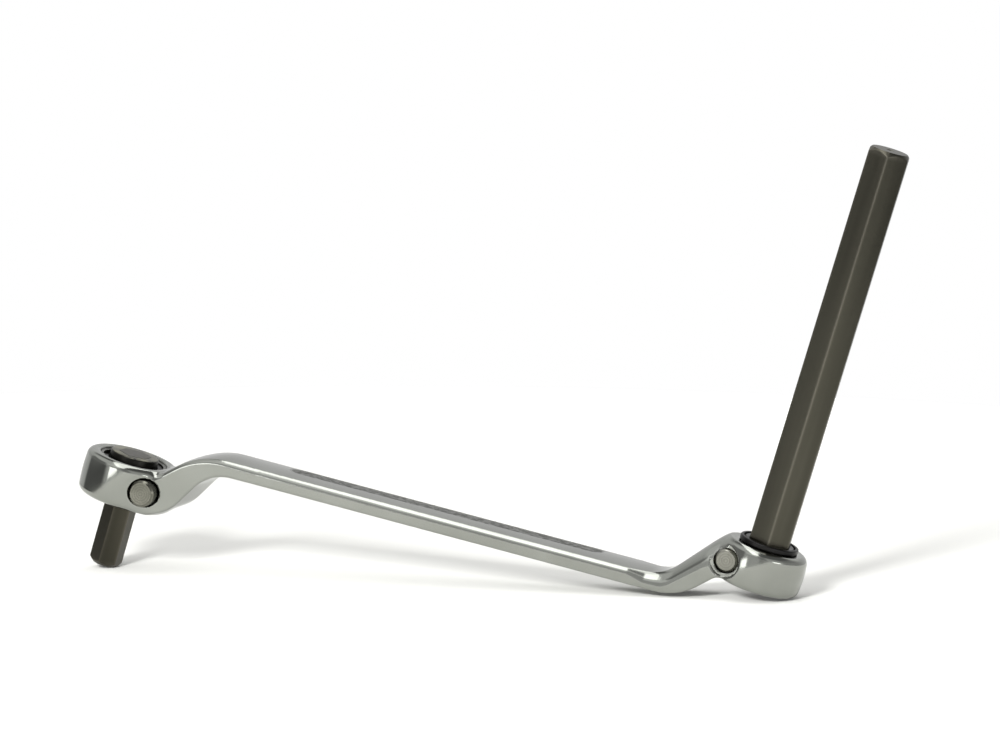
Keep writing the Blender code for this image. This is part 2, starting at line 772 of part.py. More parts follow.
def add_pawl_pin(head, parent):
    """Reversing pin: chamfered bar with a toothed saddle for the gear and a ball track."""
    half = (head.seat_width + PIN_TRAVEL) / 2
    outer = head.pin_radius
    profile = [
        (0, half),
        (outer - PIN_CHAMFER, half),
        (outer, half - PIN_CHAMFER),
        (outer, PIN_CHAMFER - half),
        (outer - PIN_CHAMFER, -half),
        (0, -half),
    ]
    place = pin_place(head) + Vector((0, head.pin_rest, 0))
    carrier = add_empty(f"{head.name}_pin_slide", parent, place)
    pin = add_turned(f"{head.name}_pawl_pin", profile, PIN_STEPS, carrier, PARTS,
                     rotation=(math.pi / 2, 0, 0))
    saddle = GEAR_RADIUS + PAWL_CLEARANCE
    reach = head.height
    cutters = []
    for end in (-1, 1):
        cutters.append(add_prism(
            f"{head.name}_pawl_teeth_{'near' if end < 0 else 'far'}", 2 * GEAR_TEETH,
            (saddle, saddle + TOOTH_DEPTH), (-reach, reach), carrier, CUTTERS,
            location=(head.pin_distance, end * PIN_TRAVEL / 2, 0)))
    flat = head.pin_distance - saddle
    cutters.append(add_box(
        f"{head.name}_pawl_flat", (flat, -PIN_TRAVEL / 2, -reach),
        (flat + saddle, PIN_TRAVEL / 2, reach), carrier, CUTTERS))
    cutters.append(add_detent_track(head, carrier))
    combine(pin, "DIFFERENCE", *cutters)
    bright_steel(pin)


def add_detent(head, parent):
    """Ball and coil spring in the blind hole of the neck."""
    axis = add_empty(f"{head.name}_detent_axis", parent, pin_place(head), (0, DETENT_TILT, 0))
    reach = detent_distance(head)
    shape = bmesh.new()
    bmesh.ops.create_uvsphere(shape, u_segments=BALL_STEPS, v_segments=BALL_RINGS,
                              radius=BALL_RADIUS)
    name = f"{head.name}_detent_ball"
    ball = add_mesh(name, mesh_from_bmesh(name, shape), axis, PARTS, location=(0, 0, reach))
    bright_steel(ball)

    low = reach + BALL_RADIUS + FACE_GAP + SPRING_WIRE_RADIUS
    high = DETENT_HOLE_DEPTH - FACE_GAP - SPRING_WIRE_RADIUS
    coil = bpy.data.curves.new(f"{head.name}_detent_spring", "CURVE")
    coil.dimensions = "3D"
    coil.bevel_depth = SPRING_WIRE_RADIUS
    coil.bevel_resolution = 1
    coil.use_fill_caps = True
    spline = coil.splines.new("POLY")
    count = SPRING_TURNS * COIL_POINTS
    spline.points.add(count)
    for index, point in enumerate(spline.points):
        angle = 2 * math.pi * index / COIL_POINTS
        height = low + (high - low) * index / count
        point.co = (SPRING_RADIUS * math.cos(angle), SPRING_RADIUS * math.sin(angle), height, 1)
    spring = add_mesh(f"{head.name}_detent_spring", coil, axis, PARTS)
    bright_steel(spring)


def standing_lean():
    """Angle of the keys from upright when the short tip and the other head's rim touch down."""
    tip_radius = SHORT_HEAD.corner_radius + KEY_EDGE_RADIUS - KEY_TIP_CHAMFER
    tip = Vector((tip_radius, -SHORT_KEY_REACH))
    rim_centre = Vector((HEAD_SPACING + LONG_HEAD_RADIUS - HEAD_EDGE_RADIUS,
                         HEAD_OFFSET - LONG_HEAD_HEIGHT / 2 + HEAD_EDGE_RADIUS))
    across = rim_centre - tip
    return math.atan2(across.y, across.x) - math.asin(HEAD_EDGE_RADIUS / across.length)


def stand_on_ground(tool):
    """Move the tool so that the middle of its box's bottom face is the origin."""
    depsgraph = bpy.context.evaluated_depsgraph_get()
    corners = []
    for piece in PARTS.objects:
        if piece.type == "EMPTY":
            continue
        shown = piece.evaluated_get(depsgraph)
        mesh = shown.to_mesh()
        corners += [shown.matrix_world @ corner.co for corner in mesh.vertices]
        shown.to_mesh_clear()
    low = Vector([min(corner[axis] for corner in corners) for axis in range(3)])
    high = Vector([max(corner[axis] for corner in corners) for axis in range(3)])
    tool.location = (-(low.x + high.x) / 2, -(low.y + high.y) / 2, -low.z)


def main():
    """Build the spanner."""
    tool = add_empty("spanner_frame", None, rotation=(0, standing_lean(), 0))
    short_axis = add_empty("short_key_axis", tool, rotation=(0, math.pi, 0))
    long_axis = add_empty("long_key_axis", tool, (HEAD_SPACING, 0, HEAD_OFFSET))
    head_empties = ((LONG_HEAD, long_axis), (SHORT_HEAD, short_axis))
    add_body(tool, head_empties)
    for head, empty in head_empties:
        add_gear(head, empty)
        add_key(head, empty)
        add_cross_pin(head, empty)
        add_collar(head, empty)
        add_seal(head, empty)
        add_washer(head, empty)
        add_snap_ring(head, empty)
        add_pawl_pin(head, empty)
        add_detent(head, empty)
    bpy.context.view_layer.update()
    stand_on_ground(tool)


for old in list(bpy.data.objects):
    bpy.data.objects.remove(old, do_unlink=True)
PARTS = new_collection("ratchet_spanner")
CUTTERS = new_collection("ratchet_spanner_cutters")
main()
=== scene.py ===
# %% [markdown]
# # A ratchet spanner with two hexagon keys
#
# The real tool is a forged, chrome-plated bar with a ring head at each end. Each ring holds a
# ratchet gear, and each gear holds a dark hexagon key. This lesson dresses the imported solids:
# every piece is worked out again as a fine surface, in the same place, and gets a finish.

# %% Load the solids as a fixed frame
import json
import math
from dataclasses import dataclass

import bmesh
import bpy
import numpy as np
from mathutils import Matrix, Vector


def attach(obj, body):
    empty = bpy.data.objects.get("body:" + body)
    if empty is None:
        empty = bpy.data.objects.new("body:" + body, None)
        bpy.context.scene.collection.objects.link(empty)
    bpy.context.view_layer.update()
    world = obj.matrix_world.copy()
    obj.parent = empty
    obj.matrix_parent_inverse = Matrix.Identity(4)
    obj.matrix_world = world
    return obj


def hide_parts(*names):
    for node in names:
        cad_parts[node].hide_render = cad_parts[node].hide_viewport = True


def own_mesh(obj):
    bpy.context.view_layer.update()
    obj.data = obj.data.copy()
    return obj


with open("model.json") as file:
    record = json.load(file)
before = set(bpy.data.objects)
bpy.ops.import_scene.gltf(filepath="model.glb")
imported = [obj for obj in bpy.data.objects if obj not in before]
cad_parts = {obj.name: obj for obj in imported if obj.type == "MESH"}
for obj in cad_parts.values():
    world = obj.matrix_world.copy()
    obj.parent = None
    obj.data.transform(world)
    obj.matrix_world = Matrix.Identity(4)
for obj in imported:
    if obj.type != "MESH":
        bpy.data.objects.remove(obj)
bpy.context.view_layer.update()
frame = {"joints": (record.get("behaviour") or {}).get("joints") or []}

# %% [markdown]
# ## Two frames to think in
#
# The spanner leans as it stands, so its shapes are easier to describe in its own tool frame: x
# from the short key to the long key, y across the handle, z along the long key, in millimetres.
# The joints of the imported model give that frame, so nothing has to be fitted by eye. Each head
# has a frame of its own too, with z along the key that it drives and the neck towards -x.

# %% Tool frame and head frames from the joints
MM = 0.001
joints = {joint["name"]: joint for joint in frame["joints"]}
tool_origin = np.array(joints["short_key_spin"]["pos_m"]) / MM
tool_up = np.array(joints["long_key_spin"]["axis"])
tool_side = np.array((0.0, 1.0, 0.0))
tool_along = np.cross(tool_side, tool_up)
TOOL_AXES = np.array((tool_along, tool_side, tool_up))
LONG_CENTRE = TOOL_AXES @ (np.array(joints["long_key_spin"]["pos_m"]) / MM - tool_origin)
LEAN = math.atan2(tool_up[0], tool_up[2])
print(f"head spacing {LONG_CENTRE[0]:.1f} mm, offset {LONG_CENTRE[2]:.1f} mm")
print(f"lean {math.degrees(LEAN):.2f} degrees")


@dataclass(frozen=True)
class Head:
    """Sizes of one ring head and what it carries, in millimetres.

    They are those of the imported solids, apart from the barrel of the ring's side and a slightly
    smaller seat round the short key's pin. facing is 1 where the key points up the tool frame and
    -1 where it points down; flats, reach and turn_deg are the key's width, tip and turn.
    """

    name: str
    facing: int
    centre: tuple
    radius: float
    height: float
    flats: float
    reach: float
    turn_deg: float
    collar: float
    pin_radius: float
    pin_distance: float
    pin_drop: float
    pin_rest: float
    seat_width: float
    seat_radius: float
    hub_proud: float
    barrel: float

    def to_tool(self, points):
        """Head frame to tool frame: a half turn about y where the head faces down."""
        return points * (self.facing, 1, self.facing) + np.array(self.centre)


LONG = Head(name="long_key", facing=1, centre=tuple(LONG_CENTRE), radius=8.6, height=8.6,
            flats=8.0, reach=87.3, turn_deg=9.7, collar=1.1,
            pin_radius=2.4, pin_distance=6.3, pin_drop=0.3, pin_rest=1.5,
            seat_width=10.6, seat_radius=3.2, hub_proud=0.3, barrel=0.45)
SHORT = Head(name="short_key", facing=-1, centre=(0.0, 0.0, 0.0), radius=9.8, height=9.2,
             flats=6.0, reach=18.9, turn_deg=3.0, collar=0.7,
             pin_radius=2.75, pin_distance=6.6, pin_drop=0.0, pin_rest=-1.5,
             seat_width=12.2, seat_radius=2.95, hub_proud=0.8, barrel=0.22)
HEADS = (LONG, SHORT)

# %% [markdown]
# ## From arrays to pieces
#
# A grid of points becomes a mesh in two steps: its quads are index arithmetic on whole arrays,
# and one weld closes the poles and seams where a row shrinks to a point. Blender's primitives
# would be quicker for a plain disc, but a grid of our own puts rows exactly where an edge is
# rounded.

# %% Mesh helpers
WELD = 1e-7
SHARP_DEG = 40


def round_angles(count):
    """Even angles of one full turn, the last a step short of it."""
    return np.linspace(0, 2 * np.pi, count, endpoint=False)


def grid_faces(rows, columns, loop=False):
    """Quads between neighbouring rows; columns always close, rows close where loop is set."""
    row = np.arange(rows if loop else rows - 1)[:, None]
    column = np.arange(columns)[None, :]
    below, beside = (row + 1) % rows, (column + 1) % columns
    corners = (row * columns + column, row * columns + beside,
               below * columns + beside, below * columns + column)
    return np.stack(np.broadcast_arrays(*corners), axis=-1).reshape(-1, 4)


def link_object(name, data):
    """Object for a mesh, a camera or a lamp, linked to the scene."""
    item = bpy.data.objects.new(name, data)
    bpy.context.scene.collection.objects.link(item)
    return item


def add_piece(name, points, faces, body, slot, *nodes, masks=None):
    """Make a mesh of tool-frame points, at the origin, riding on a body and standing for nodes."""
    mesh = bpy.data.meshes.new(name)
    world = (points.reshape(-1, 3) @ TOOL_AXES + tool_origin) * MM
    mesh.from_pydata(world.tolist(), [], faces.tolist())
    for mask, values in (masks or {}).items():
        layer = mesh.attributes.new(mask, "FLOAT", "POINT")
        layer.data.foreach_set("value", np.ascontiguousarray(values, np.float32).ravel())
    shape = bmesh.new()
    shape.from_mesh(mesh)
    bmesh.ops.remove_doubles(shape, verts=shape.verts, dist=WELD)
    bmesh.ops.recalc_face_normals(shape, faces=shape.faces)
    shape.to_mesh(mesh)
    shape.free()
    mesh.shade_smooth()
    mesh.set_sharp_from_angle(angle=math.radians(SHARP_DEG))
    piece = link_object(name, mesh)
    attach(piece, body)
    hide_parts(*nodes)
    print(f"{name}: {len(mesh.vertices)} points, {len(mesh.polygons)} faces")
    return piece


def add_head_piece(head, kind, points, carrier, slot, node, loop=False, masks=None):
    """Piece from a grid of head-frame points; the head's name leads those of piece and node.

    A carrier other than the forged body is one of the head's own bodies.
    """
    body = carrier if carrier == "body" else f"{head.name}_{carrier}"
    return add_piece(f"{head.name}_{kind}", head.to_tool(points),
                     grid_faces(*points.shape[:2], loop=loop), body, slot, f"{head.name}_{node}",
                     masks=masks)


print("a grid of 3 rows and 4 columns has", len(grid_faces(3, 4)), "quads")

# %% [markdown]
# ## Lines with rounded corners
#
# Side views and turned profiles are both lines with a few corners and a bend at each. Points are
# complex numbers here, because a turn is then one multiplication: the real part runs along the
# tool or out from an axis, the imaginary part runs up.

# %% Rounded lines
BEND_STEPS = 12


def rounded(corners, bends):
    """Line through the corners, each inner corner swapped for an arc tangent to both sides.

    The arc starts bend * tan(turn / 2) before the corner and sweeps the turn between the sides.
    """
    run = [np.array(corners[:1], complex)]
    for before, corner, after, bend in zip(corners, corners[1:], corners[2:], bends):
        come = (corner - before) / abs(corner - before)
        leave = (after - corner) / abs(after - corner)
        turn = np.angle(leave / come)
        swept = turn * np.linspace(0, 1, BEND_STEPS + 1)
        setback = bend * math.tan(abs(turn) / 2)
        along = bend * np.sin(np.abs(swept)) - setback
        aside = np.copysign(bend * (1 - np.cos(swept)), turn)
        run.append(corner + come * (along + 1j * aside))
    run.append(np.array(corners[-1:], complex))
    return np.concatenate(run)


def rounded_loop(corners, bends):
    """Closed line with every corner rounded."""
    middle = (corners[-1] + corners[0]) / 2
    return rounded([middle, *corners, middle], bends)[:-1]


def meet(first, first_way, second, second_way):
    """Point where two lines cross, each given by a point and a direction."""
    def cross(a, b):
        return (np.conj(a) * b).imag
    return first + first_way * cross(second - first, second_way) / cross(first_way, second_way)


print("one rounded corner makes a line of", len(rounded([0, 5, 5 + 5j], (1,))), "points")

# %% [markdown]
# ## The side view of the handle
#
# The handle is a flat bar that a press has cranked at both ends. In side view it is an upper and
# a lower line: straight along the handle, bent into a neck, and running on into the ring. A row
# of corners with a bevel would be simpler, but arcs give the chrome smooth streaks there and not
# facets.

# %% Upper and lower lines of the forged bar
HANDLE_THICKNESS = 3.3
NECK_STEP = 0.2
NECK_END = 2.6


@dataclass(frozen=True)
class Neck:
    """Side view of one cranked neck, its front on the key's side, in millimetres and degrees."""

    reach: float
    drop: float
    width: float
    front_start: float
    front_angle: float
    front_bend: float
    front_corner: float
    back_start: float
    back_angle: float
    back_corner: float


LONG_NECK = Neck(reach=16.9, drop=9.3, width=11.6,
                 front_start=8.6, front_angle=51.5, front_bend=7.0, front_corner=8.0,
                 back_start=7.5, back_angle=46.0, back_corner=13.0)
SHORT_NECK = Neck(reach=20.5, drop=10.2, width=12.6,
                  front_start=11.3, front_angle=60.0, front_bend=9.0, front_corner=9.0,
                  back_start=8.6, back_angle=45.0, back_corner=16.0)


def neck_corners(head, neck, handle, way):
    """Corners of a neck's front and back lines, from inside the head to the handle."""
    place = complex(head.centre[0], head.centre[2])
    half = 1j * way * head.facing * HANDLE_THICKNESS / 2
    level = head.height / 2 - NECK_STEP

    def spot(across, height):
        return place + complex(across, height) * head.facing

    front_start = spot(-neck.front_start, level)
    front_way = np.exp(1j * math.radians(neck.front_angle))
    front_end = meet(front_start, front_way, handle + half, way)
    back_way = np.exp(1j * math.radians(neck.back_angle))
    back_rim = spot(-neck.back_start, -head.height / 2)
    back_start = meet(back_rim, back_way, spot(-NECK_END, 0), 1j)
    back_end = meet(back_rim, back_way, handle - half, way)
    return [spot(-NECK_END, level), front_start, front_end], [back_start, back_end]


short_end = complex(SHORT_NECK.reach, SHORT_NECK.drop)
long_end = complex(LONG_CENTRE[0] - LONG_NECK.reach, LONG_CENTRE[2] - LONG_NECK.drop)
handle_way = (long_end - short_end) / abs(long_end - short_end)
short_front, short_back = neck_corners(SHORT, SHORT_NECK, short_end, handle_way)
long_front, long_back = neck_corners(LONG, LONG_NECK, long_end, handle_way)
upper_line = rounded(short_back + long_front[::-1],
                     (SHORT_NECK.back_corner, LONG_NECK.front_corner, LONG_NECK.front_bend))
lower_line = rounded(short_front + long_back[::-1],
                     (SHORT_NECK.front_bend, SHORT_NECK.front_corner, LONG_NECK.back_corner))
print(f"handle slopes {math.degrees(np.angle(handle_way)):.1f} degrees in the tool frame")

# %% [markdown]
# ## The forged body as a distance field
#
# A forging has no single grid that wraps it: bar, rings, bores and seats run into each other with
# soft fillets. A Boolean of meshes would leave knife edges there, and chrome shows every one. So
# the body is described by a distance: negative inside the steel, positive outside. Distances
# blend with a smooth minimum, which is the fillet, and bores are taken out with a smooth maximum,
# which is the broken edge of a machined hole.

# %% Distances that blend
FORGED_FILLET = 2.2
MACHINED_EDGE = 0.35


def smooth_min(first, second, width):
    """Lower of two distances, lowered by a parabola where they differ by less than width."""
    near = np.clip(1 - np.abs(first - second) / width, 0, None)
    return np.minimum(first, second) - near * near * width / 4


def cut(solid, hole, width=MACHINED_EDGE):
    """Solid without the hole: the smooth maximum of the one and the other turned inside out."""
    return -smooth_min(-solid, hole, width)


def rounded_box(first, second, radius):
    """Distance to a rounded rectangle from the overshoot past its sides in two directions."""
    first, second = first + radius, second + radius
    outside = np.hypot(np.maximum(first, 0), np.maximum(second, 0))
    return outside + np.minimum(np.maximum(first, second), 0) - radius


def drum(radial, height, radius, low, high):
    """Distance to a cylinder, or a bore, between two levels."""
    return np.maximum(radial - radius, np.abs(height - (low + high) / 2) - (high - low) / 2)


print(f"a fillet adds {-smooth_min(0.0, 0.0, FORGED_FILLET):.2f} mm where two surfaces meet")

# %% [markdown]
# ### The bar
#
# The bar is a rounded rectangle at every x, between the two lines. Its upper face is slightly
# crowned and carries a long, sunk, matt panel. A sweep along the handle could make it too, but as
# a distance it blends into the rings, and the panel is one more term.

# %% Bar, necks and the matt panel
HANDLE_WIDTH = 12.0
HANDLE_LIFT = 0.2
HANDLE_CROWN = 0.3
WIDTH_RUN = 8.0
UPPER_EDGES = (1.3, 1.5, 1.5, 6.0)
LOWER_EDGE = 0.5
PANEL_DEPTH = 0.16
PANEL_WIDTH = 5.2
PANEL_SIDE = 2.4
PANEL_RANGE = (33.0, 101.0)
PANEL_FADE = 0.7


def panel_share(x, y):
    """1 inside the long matt panel of the upper face, falling to 0 across its outline.

    The outline is a slot with round ends; the fall is a smooth step of the distance to it.
    """
    middle, half = sum(PANEL_RANGE) / 2, (PANEL_RANGE[1] - PANEL_RANGE[0]) / 2
    distance = rounded_box(np.abs(x - middle) - half, np.abs(y - PANEL_SIDE) - PANEL_WIDTH / 2,
                           PANEL_WIDTH / 2)
    share = np.clip(0.5 - distance / PANEL_FADE, 0, 1)
    return share * share * (3 - 2 * share)


def shank(x, y, z):
    """Distance to the bar: upright rounded rectangles between the upper and the lower line.

    The upper face is crowned, lower by a parabola towards its edges, and the panel is a dip in it.
    Its edges are rounder than those of the lower face.
    """
    top = np.interp(x, upper_line.real, upper_line.imag) + HANDLE_LIFT
    bottom = np.interp(x, lower_line.real, lower_line.imag)
    marks = (SHORT.radius, short_end.real + WIDTH_RUN, long_end.real - WIDTH_RUN,
             LONG_CENTRE[0] - LONG.radius)
    width = np.interp(x, marks, (SHORT_NECK.width, HANDLE_WIDTH, HANDLE_WIDTH, LONG_NECK.width))
    side = np.abs(y) - width / 2
    edge = np.minimum(np.interp(x, marks, UPPER_EDGES), top - bottom - 2 * LOWER_EDGE)
    bar = np.maximum(rounded_box(side, z - top, edge), rounded_box(side, bottom - z, LOWER_EDGE))
    crown = HANDLE_CROWN * (2 * y / HANDLE_WIDTH) ** 2
    bar = np.maximum(bar, z - top + crown + PANEL_DEPTH * panel_share(x, y))
    return np.maximum(bar, np.abs(x - LONG_CENTRE[0] / 2) - LONG_CENTRE[0] / 2 + NECK_END)


print(f"panel: {PANEL_RANGE[1] - PANEL_RANGE[0]:.0f} mm long, {PANEL_DEPTH} mm deep")

# %% [markdown]
# ### The rings
#
# Each ring is a short barrel, faced flat and bored for its gear, seal and snap ring. A turned
# profile would give the ring alone, but not its fillet into the neck. So the barrel is a distance,
# and each step of the bore is a drum with a distance of its own.

# %% Rings with their bores
HEAD_EDGE = 1.3
GEAR_RADIUS = 5.65
GEAR_GAP = 0.3
BORE_RADIUS = GEAR_RADIUS + GEAR_GAP
PAST_FACE = 9.0
MOUTH_LEDGE = 1.1
MOUTH_DEPTH = 0.5
HUB_RADIUS = 5.2
LIP = 1.5
FACE_GAP = 0.2
FIT_GAP = 0.15
SEAL_SECTION = 0.5
SNAP_DEPTH = 0.7
SNAP_THICKNESS = 0.5
SNAP_GRIP = 0.4
SNAP_RADIUS = BORE_RADIUS + SNAP_GRIP


def ring_blank(head, x, y, z):
    """Distance to the plain rounded disc of a head, its side a little barrelled."""
    side = head.radius - head.barrel * (2 * z / head.height) ** 2
    return rounded_box(np.hypot(x, y) - side, np.abs(z) - head.height / 2, HEAD_EDGE)


def chamber(head, x, y, z):
    """Distances to the gear bore, lip hole, seal groove, snap ring groove and widened mouth."""
    radial, top, back = np.hypot(x, y), head.height / 2, -head.height / 2
    lip_hole = HUB_RADIUS + FIT_GAP
    seal_half = SEAL_SECTION / 2 + FIT_GAP
    snap_low = back + SNAP_DEPTH
    bore = drum(radial, z, BORE_RADIUS, back - PAST_FACE, top - LIP)
    hole = drum(radial, z, lip_hole, back, top + PAST_FACE)
    seal = drum(radial, z, lip_hole + SEAL_SECTION + FIT_GAP,
                top - LIP / 2 - seal_half, top - LIP / 2 + seal_half)
    snap = drum(radial, z, SNAP_RADIUS + FACE_GAP, snap_low,
                snap_low + SNAP_THICKNESS + 2 * FACE_GAP)
    mouth = drum(radial, z, BORE_RADIUS + MOUTH_LEDGE, back - PAST_FACE, back + MOUTH_DEPTH)
    return bore, hole, seal, snap, mouth


print(f"gear bore {2 * BORE_RADIUS:.1f} mm across, lip hole {2 * (HUB_RADIUS + FIT_GAP):.1f} mm")

# %% [markdown]
# ### Holes for the pin, and the whole body
#
# A cross bore with a flat seat at both ends takes the reversing pin, and a slanted blind hole
# behind it takes ball and spring. The whole body is then one function: blend bar and rings, face
# the rings, and cut the holes one by one. A stack of modifiers would do the same steps, but
# couldn't be asked for its slope.

# %% Holes for the pin, and the whole body
PIN_RIM = 0.16
FACE_MARGIN = 0.4
BALL_RADIUS = 0.8
DETENT_DEG = 33.0
DETENT_HOLE = 9.0


def pin_bore(head, x, y, z):
    """Distances to the flat round seats at both ends of the pin's cross bore, and to the bore."""
    radial = np.hypot(x + head.pin_distance, z + head.pin_drop)
    seat = np.maximum(radial - head.seat_radius, head.seat_width / 2 - np.abs(y))
    gap = min(FIT_GAP, (head.seat_radius - head.pin_radius) / 2)
    return seat, radial - head.pin_radius - gap


def detent_hole(head, x, y, z):
    """Distance to the slanted blind hole behind the pin, for ball and spring."""
    tilt = math.radians(DETENT_DEG)
    out, drop = x + head.pin_distance, z + head.pin_drop
    along = -out * math.cos(tilt) - drop * math.sin(tilt)
    aside = np.hypot(y, out * math.sin(tilt) - drop * math.cos(tilt))
    return drum(aside, along, BALL_RADIUS + FIT_GAP, 0, DETENT_HOLE)


def forged_body(x, y, z):
    """Distance to the whole body: bar and rings blended, faced flat, then bored hole by hole."""
    solid = shank(x, y, z)
    local = [(head, (x - head.centre[0]) * head.facing, (z - head.centre[2]) * head.facing)
             for head in HEADS]
    for head, across, height in local:
        solid = smooth_min(solid, ring_blank(head, across, y, height), FORGED_FILLET)
    for head, across, height in local:
        solid = np.maximum(solid, height - head.height / 2)
        facing = np.hypot(across, y) - BORE_RADIUS - MOUTH_LEDGE - FACE_MARGIN
        solid = cut(solid, np.maximum(facing, height + head.height / 2))
        for hole in (*chamber(head, across, y, height), detent_hole(head, across, y, height)):
            solid = cut(solid, hole)
        seat, bore = pin_bore(head, across, y, height)
        solid = cut(solid, seat, min(MACHINED_EDGE, head.seat_radius - head.pin_radius))
        solid = cut(solid, bore, PIN_RIM)
    return solid


handle_middle = np.array((LONG_CENTRE[0] / 2, 0.0, (short_end + long_end).imag / 2))
print(f"the middle of the handle lies {-forged_body(*handle_middle):.2f} mm inside the steel")

# %% [markdown]
# ## From the field to a surface
#
# The surface is where the distance is zero. Surface nets find it: every grid cell that the
# surface crosses gets one point, at the mean of the crossings on its edges, and every grid edge
# that is crossed gets one quad between its four cells. Marching cubes would do as well, but
# leaves more thin triangles.

# %% Surface nets on a grid of uneven lines
def spaced(*stretches):
    """Grid lines over stretches of (start, end, step), each end belonging to the next."""
    runs = [np.linspace(start, end, max(1, round((end - start) / step)), endpoint=False)
            for start, end, step in stretches]
    return np.concatenate([*runs, [stretches[-1][1]]])


def surface_net(field, lines):
    """Points and quads of the zero level of a field sampled on the crossings of three lines."""
    inside = field < 0
    count = np.zeros([n - 1 for n in field.shape], np.int8)
    for corner in np.ndindex(2, 2, 2):
        count += inside[tuple(slice(c, c - 1 or None) for c in corner)]
    cells = np.argwhere((count > 0) & (count < 8))
    number = np.full(count.shape, -1, np.int32)
    number[tuple(cells.T)] = np.arange(len(cells))
    total, hits = np.zeros((len(cells), 3)), np.zeros((len(cells), 1))
    for axis in range(3):
        for offset in np.ndindex(2, 2):
            near = cells.copy()
            near[:, [a for a in range(3) if a != axis]] += offset
            far = near.copy()
            far[:, axis] += 1
            low, high = field[tuple(near.T)], field[tuple(far.T)]
            crossed = (low < 0) != (high < 0)
            share = np.where(crossed, low / np.where(crossed, low - high, 1), 0)[:, None]
            start = np.stack([lines[a][near[:, a]] for a in range(3)], 1)
            end = np.stack([lines[a][far[:, a]] for a in range(3)], 1)
            total += np.where(crossed[:, None], start + (end - start) * share, 0)
            hits += crossed[:, None]
    quads = []
    for axis in range(3):
        other, third = (axis + 1) % 3, (axis + 2) % 3
        step = [slice(None)] * 3
        step[axis] = slice(None, -1)
        ahead = list(step)
        ahead[axis] = slice(1, None)
        edges = np.argwhere(inside[tuple(step)] != inside[tuple(ahead)])
        around = []
        for back in ((1, 1), (0, 1), (0, 0), (1, 0)):
            cell = edges.copy()
            cell[:, other] -= back[0]
            cell[:, third] -= back[1]
            around.append(number[tuple(cell.T)])
        quads.append(np.stack(around, 1))
    return total / hits, np.concatenate(quads)


print("grid lines over 2 mm, fine and then coarse:", spaced((0, 1, 0.25), (1, 2, 0.5)))

# %% [markdown]
# ### Onto the zero level
#
# A net's points are means, so they lie a little off the surface. A smoothing modifier would even
# them out but round the edges too. Sliding each point down the slope of the field, by its distance
# over the slope, puts it on the surface, and the edges stay.

# %% Slopes and settling
SLOPE_REACH = 0.02
LEAST_SLOPE = 0.1
SETTLE_ROUNDS = 3
SETTLE_LIMIT = 0.12


def gradient(field, points, reach=SLOPE_REACH):
    """Slope of a field at points, from central differences."""
    steps = np.eye(3) * reach
    return np.stack([(field(*(points + step).T) - field(*(points - step).T)) / (2 * reach)
                     for step in steps], 1)


def settle(field, points):
    """Slide points down the slope of a field onto its zero level."""
    for _ in range(SETTLE_ROUNDS):
        slope = gradient(field, points)
        steep = np.sum(slope ** 2, 1, keepdims=True).clip(LEAST_SLOPE)
        move = field(*points.T)[:, None] * slope / steep
        points = points - np.clip(move, -SETTLE_LIMIT, SETTLE_LIMIT)
    return points


beside_handle = handle_middle[None] + (0, HANDLE_WIDTH, 0)
print("slope of the field beside the handle:", gradient(shank, beside_handle)[0].round(2))

# %% [markdown]
# ### The body's grid
#
# An even grid fine enough for the rims would have far too many points along the handle. So the
# grid lines lie close together at the rings and far apart along the plain bar, and the points go
# where the shape changes.

# %% Grid of the body
RING_GRID = 0.24
LIP_GRID = 0.16
NECK_GRID = 0.3
HANDLE_GRID = 0.85
MARGIN = 0.6
LIP_MARGIN = 0.2
SHORT_RING_RUN = 1.0
LONG_RING_RUN = 2.4
NECK_RUN = 9.0

short_ring, short_neck = SHORT.radius + SHORT_RING_RUN, short_end.real + NECK_RUN
long_neck, long_ring = long_end.real - NECK_RUN, LONG_CENTRE[0] - LONG.radius - LONG_RING_RUN
low_lip = -SHORT.height / 2 + LIP + LIP_MARGIN
high_lip = LONG_CENTRE[2] + LONG.height / 2 - LIP - LIP_MARGIN
lines = (
    spaced((-SHORT.radius - MARGIN, short_ring, RING_GRID), (short_ring, short_neck, NECK_GRID),
           (short_neck, long_neck, HANDLE_GRID), (long_neck, long_ring, NECK_GRID),
           (long_ring, LONG_CENTRE[0] + LONG.radius + MARGIN, RING_GRID)),
    spaced((-SHORT.radius - MARGIN, SHORT.radius + MARGIN, RING_GRID)),
    spaced((-SHORT.height / 2 - MARGIN, low_lip, LIP_GRID), (low_lip, high_lip, RING_GRID),
           (high_lip, LONG_CENTRE[2] + LONG.height / 2 + MARGIN, LIP_GRID)),
)
field = forged_body(lines[0][:, None, None], lines[1][None, :, None], lines[2][None, None, :])
body_points, body_quads = surface_net(field, lines)
body_points = settle(forged_body, body_points)
print("grid lines:", " x ".join(str(len(line)) for line in lines))

# %% [markdown]
# ### The body's mesh, masks and normals
#
# Two masks ride along for the finish. One is where the slope of the field, taken over a longer
# reach, is cut short by a corner: the worn edges, which on the chrome also get a painted
# highlight. The other marks the matt panel, and the walls inside the rings, where the same dark
# finish is painted shade. Smooth shading would tilt the facets at every rim, so the normals are
# the slope of the field too.

# %% Mesh of the body
EDGE_REACH = 0.4
NORMAL_REACH = 0.06
BORE_SHADE_EDGE = 0.12
LIP_FADE = 0.2


def bore_shade_share(head, x, y, z):
    """1 on the machined walls inside a ring, darkened there as painted shade, and 0 outside it."""
    across, height = (x - head.centre[0]) * head.facing, (z - head.centre[2]) * head.facing
    wall = np.minimum.reduce(chamber(head, across, y, height))
    below_lip = np.clip((head.height / 2 - LIP / 2 - height) / LIP_FADE, 0, 1)
    return np.clip(1 - wall / BORE_SHADE_EDGE, 0, 1) * below_lip


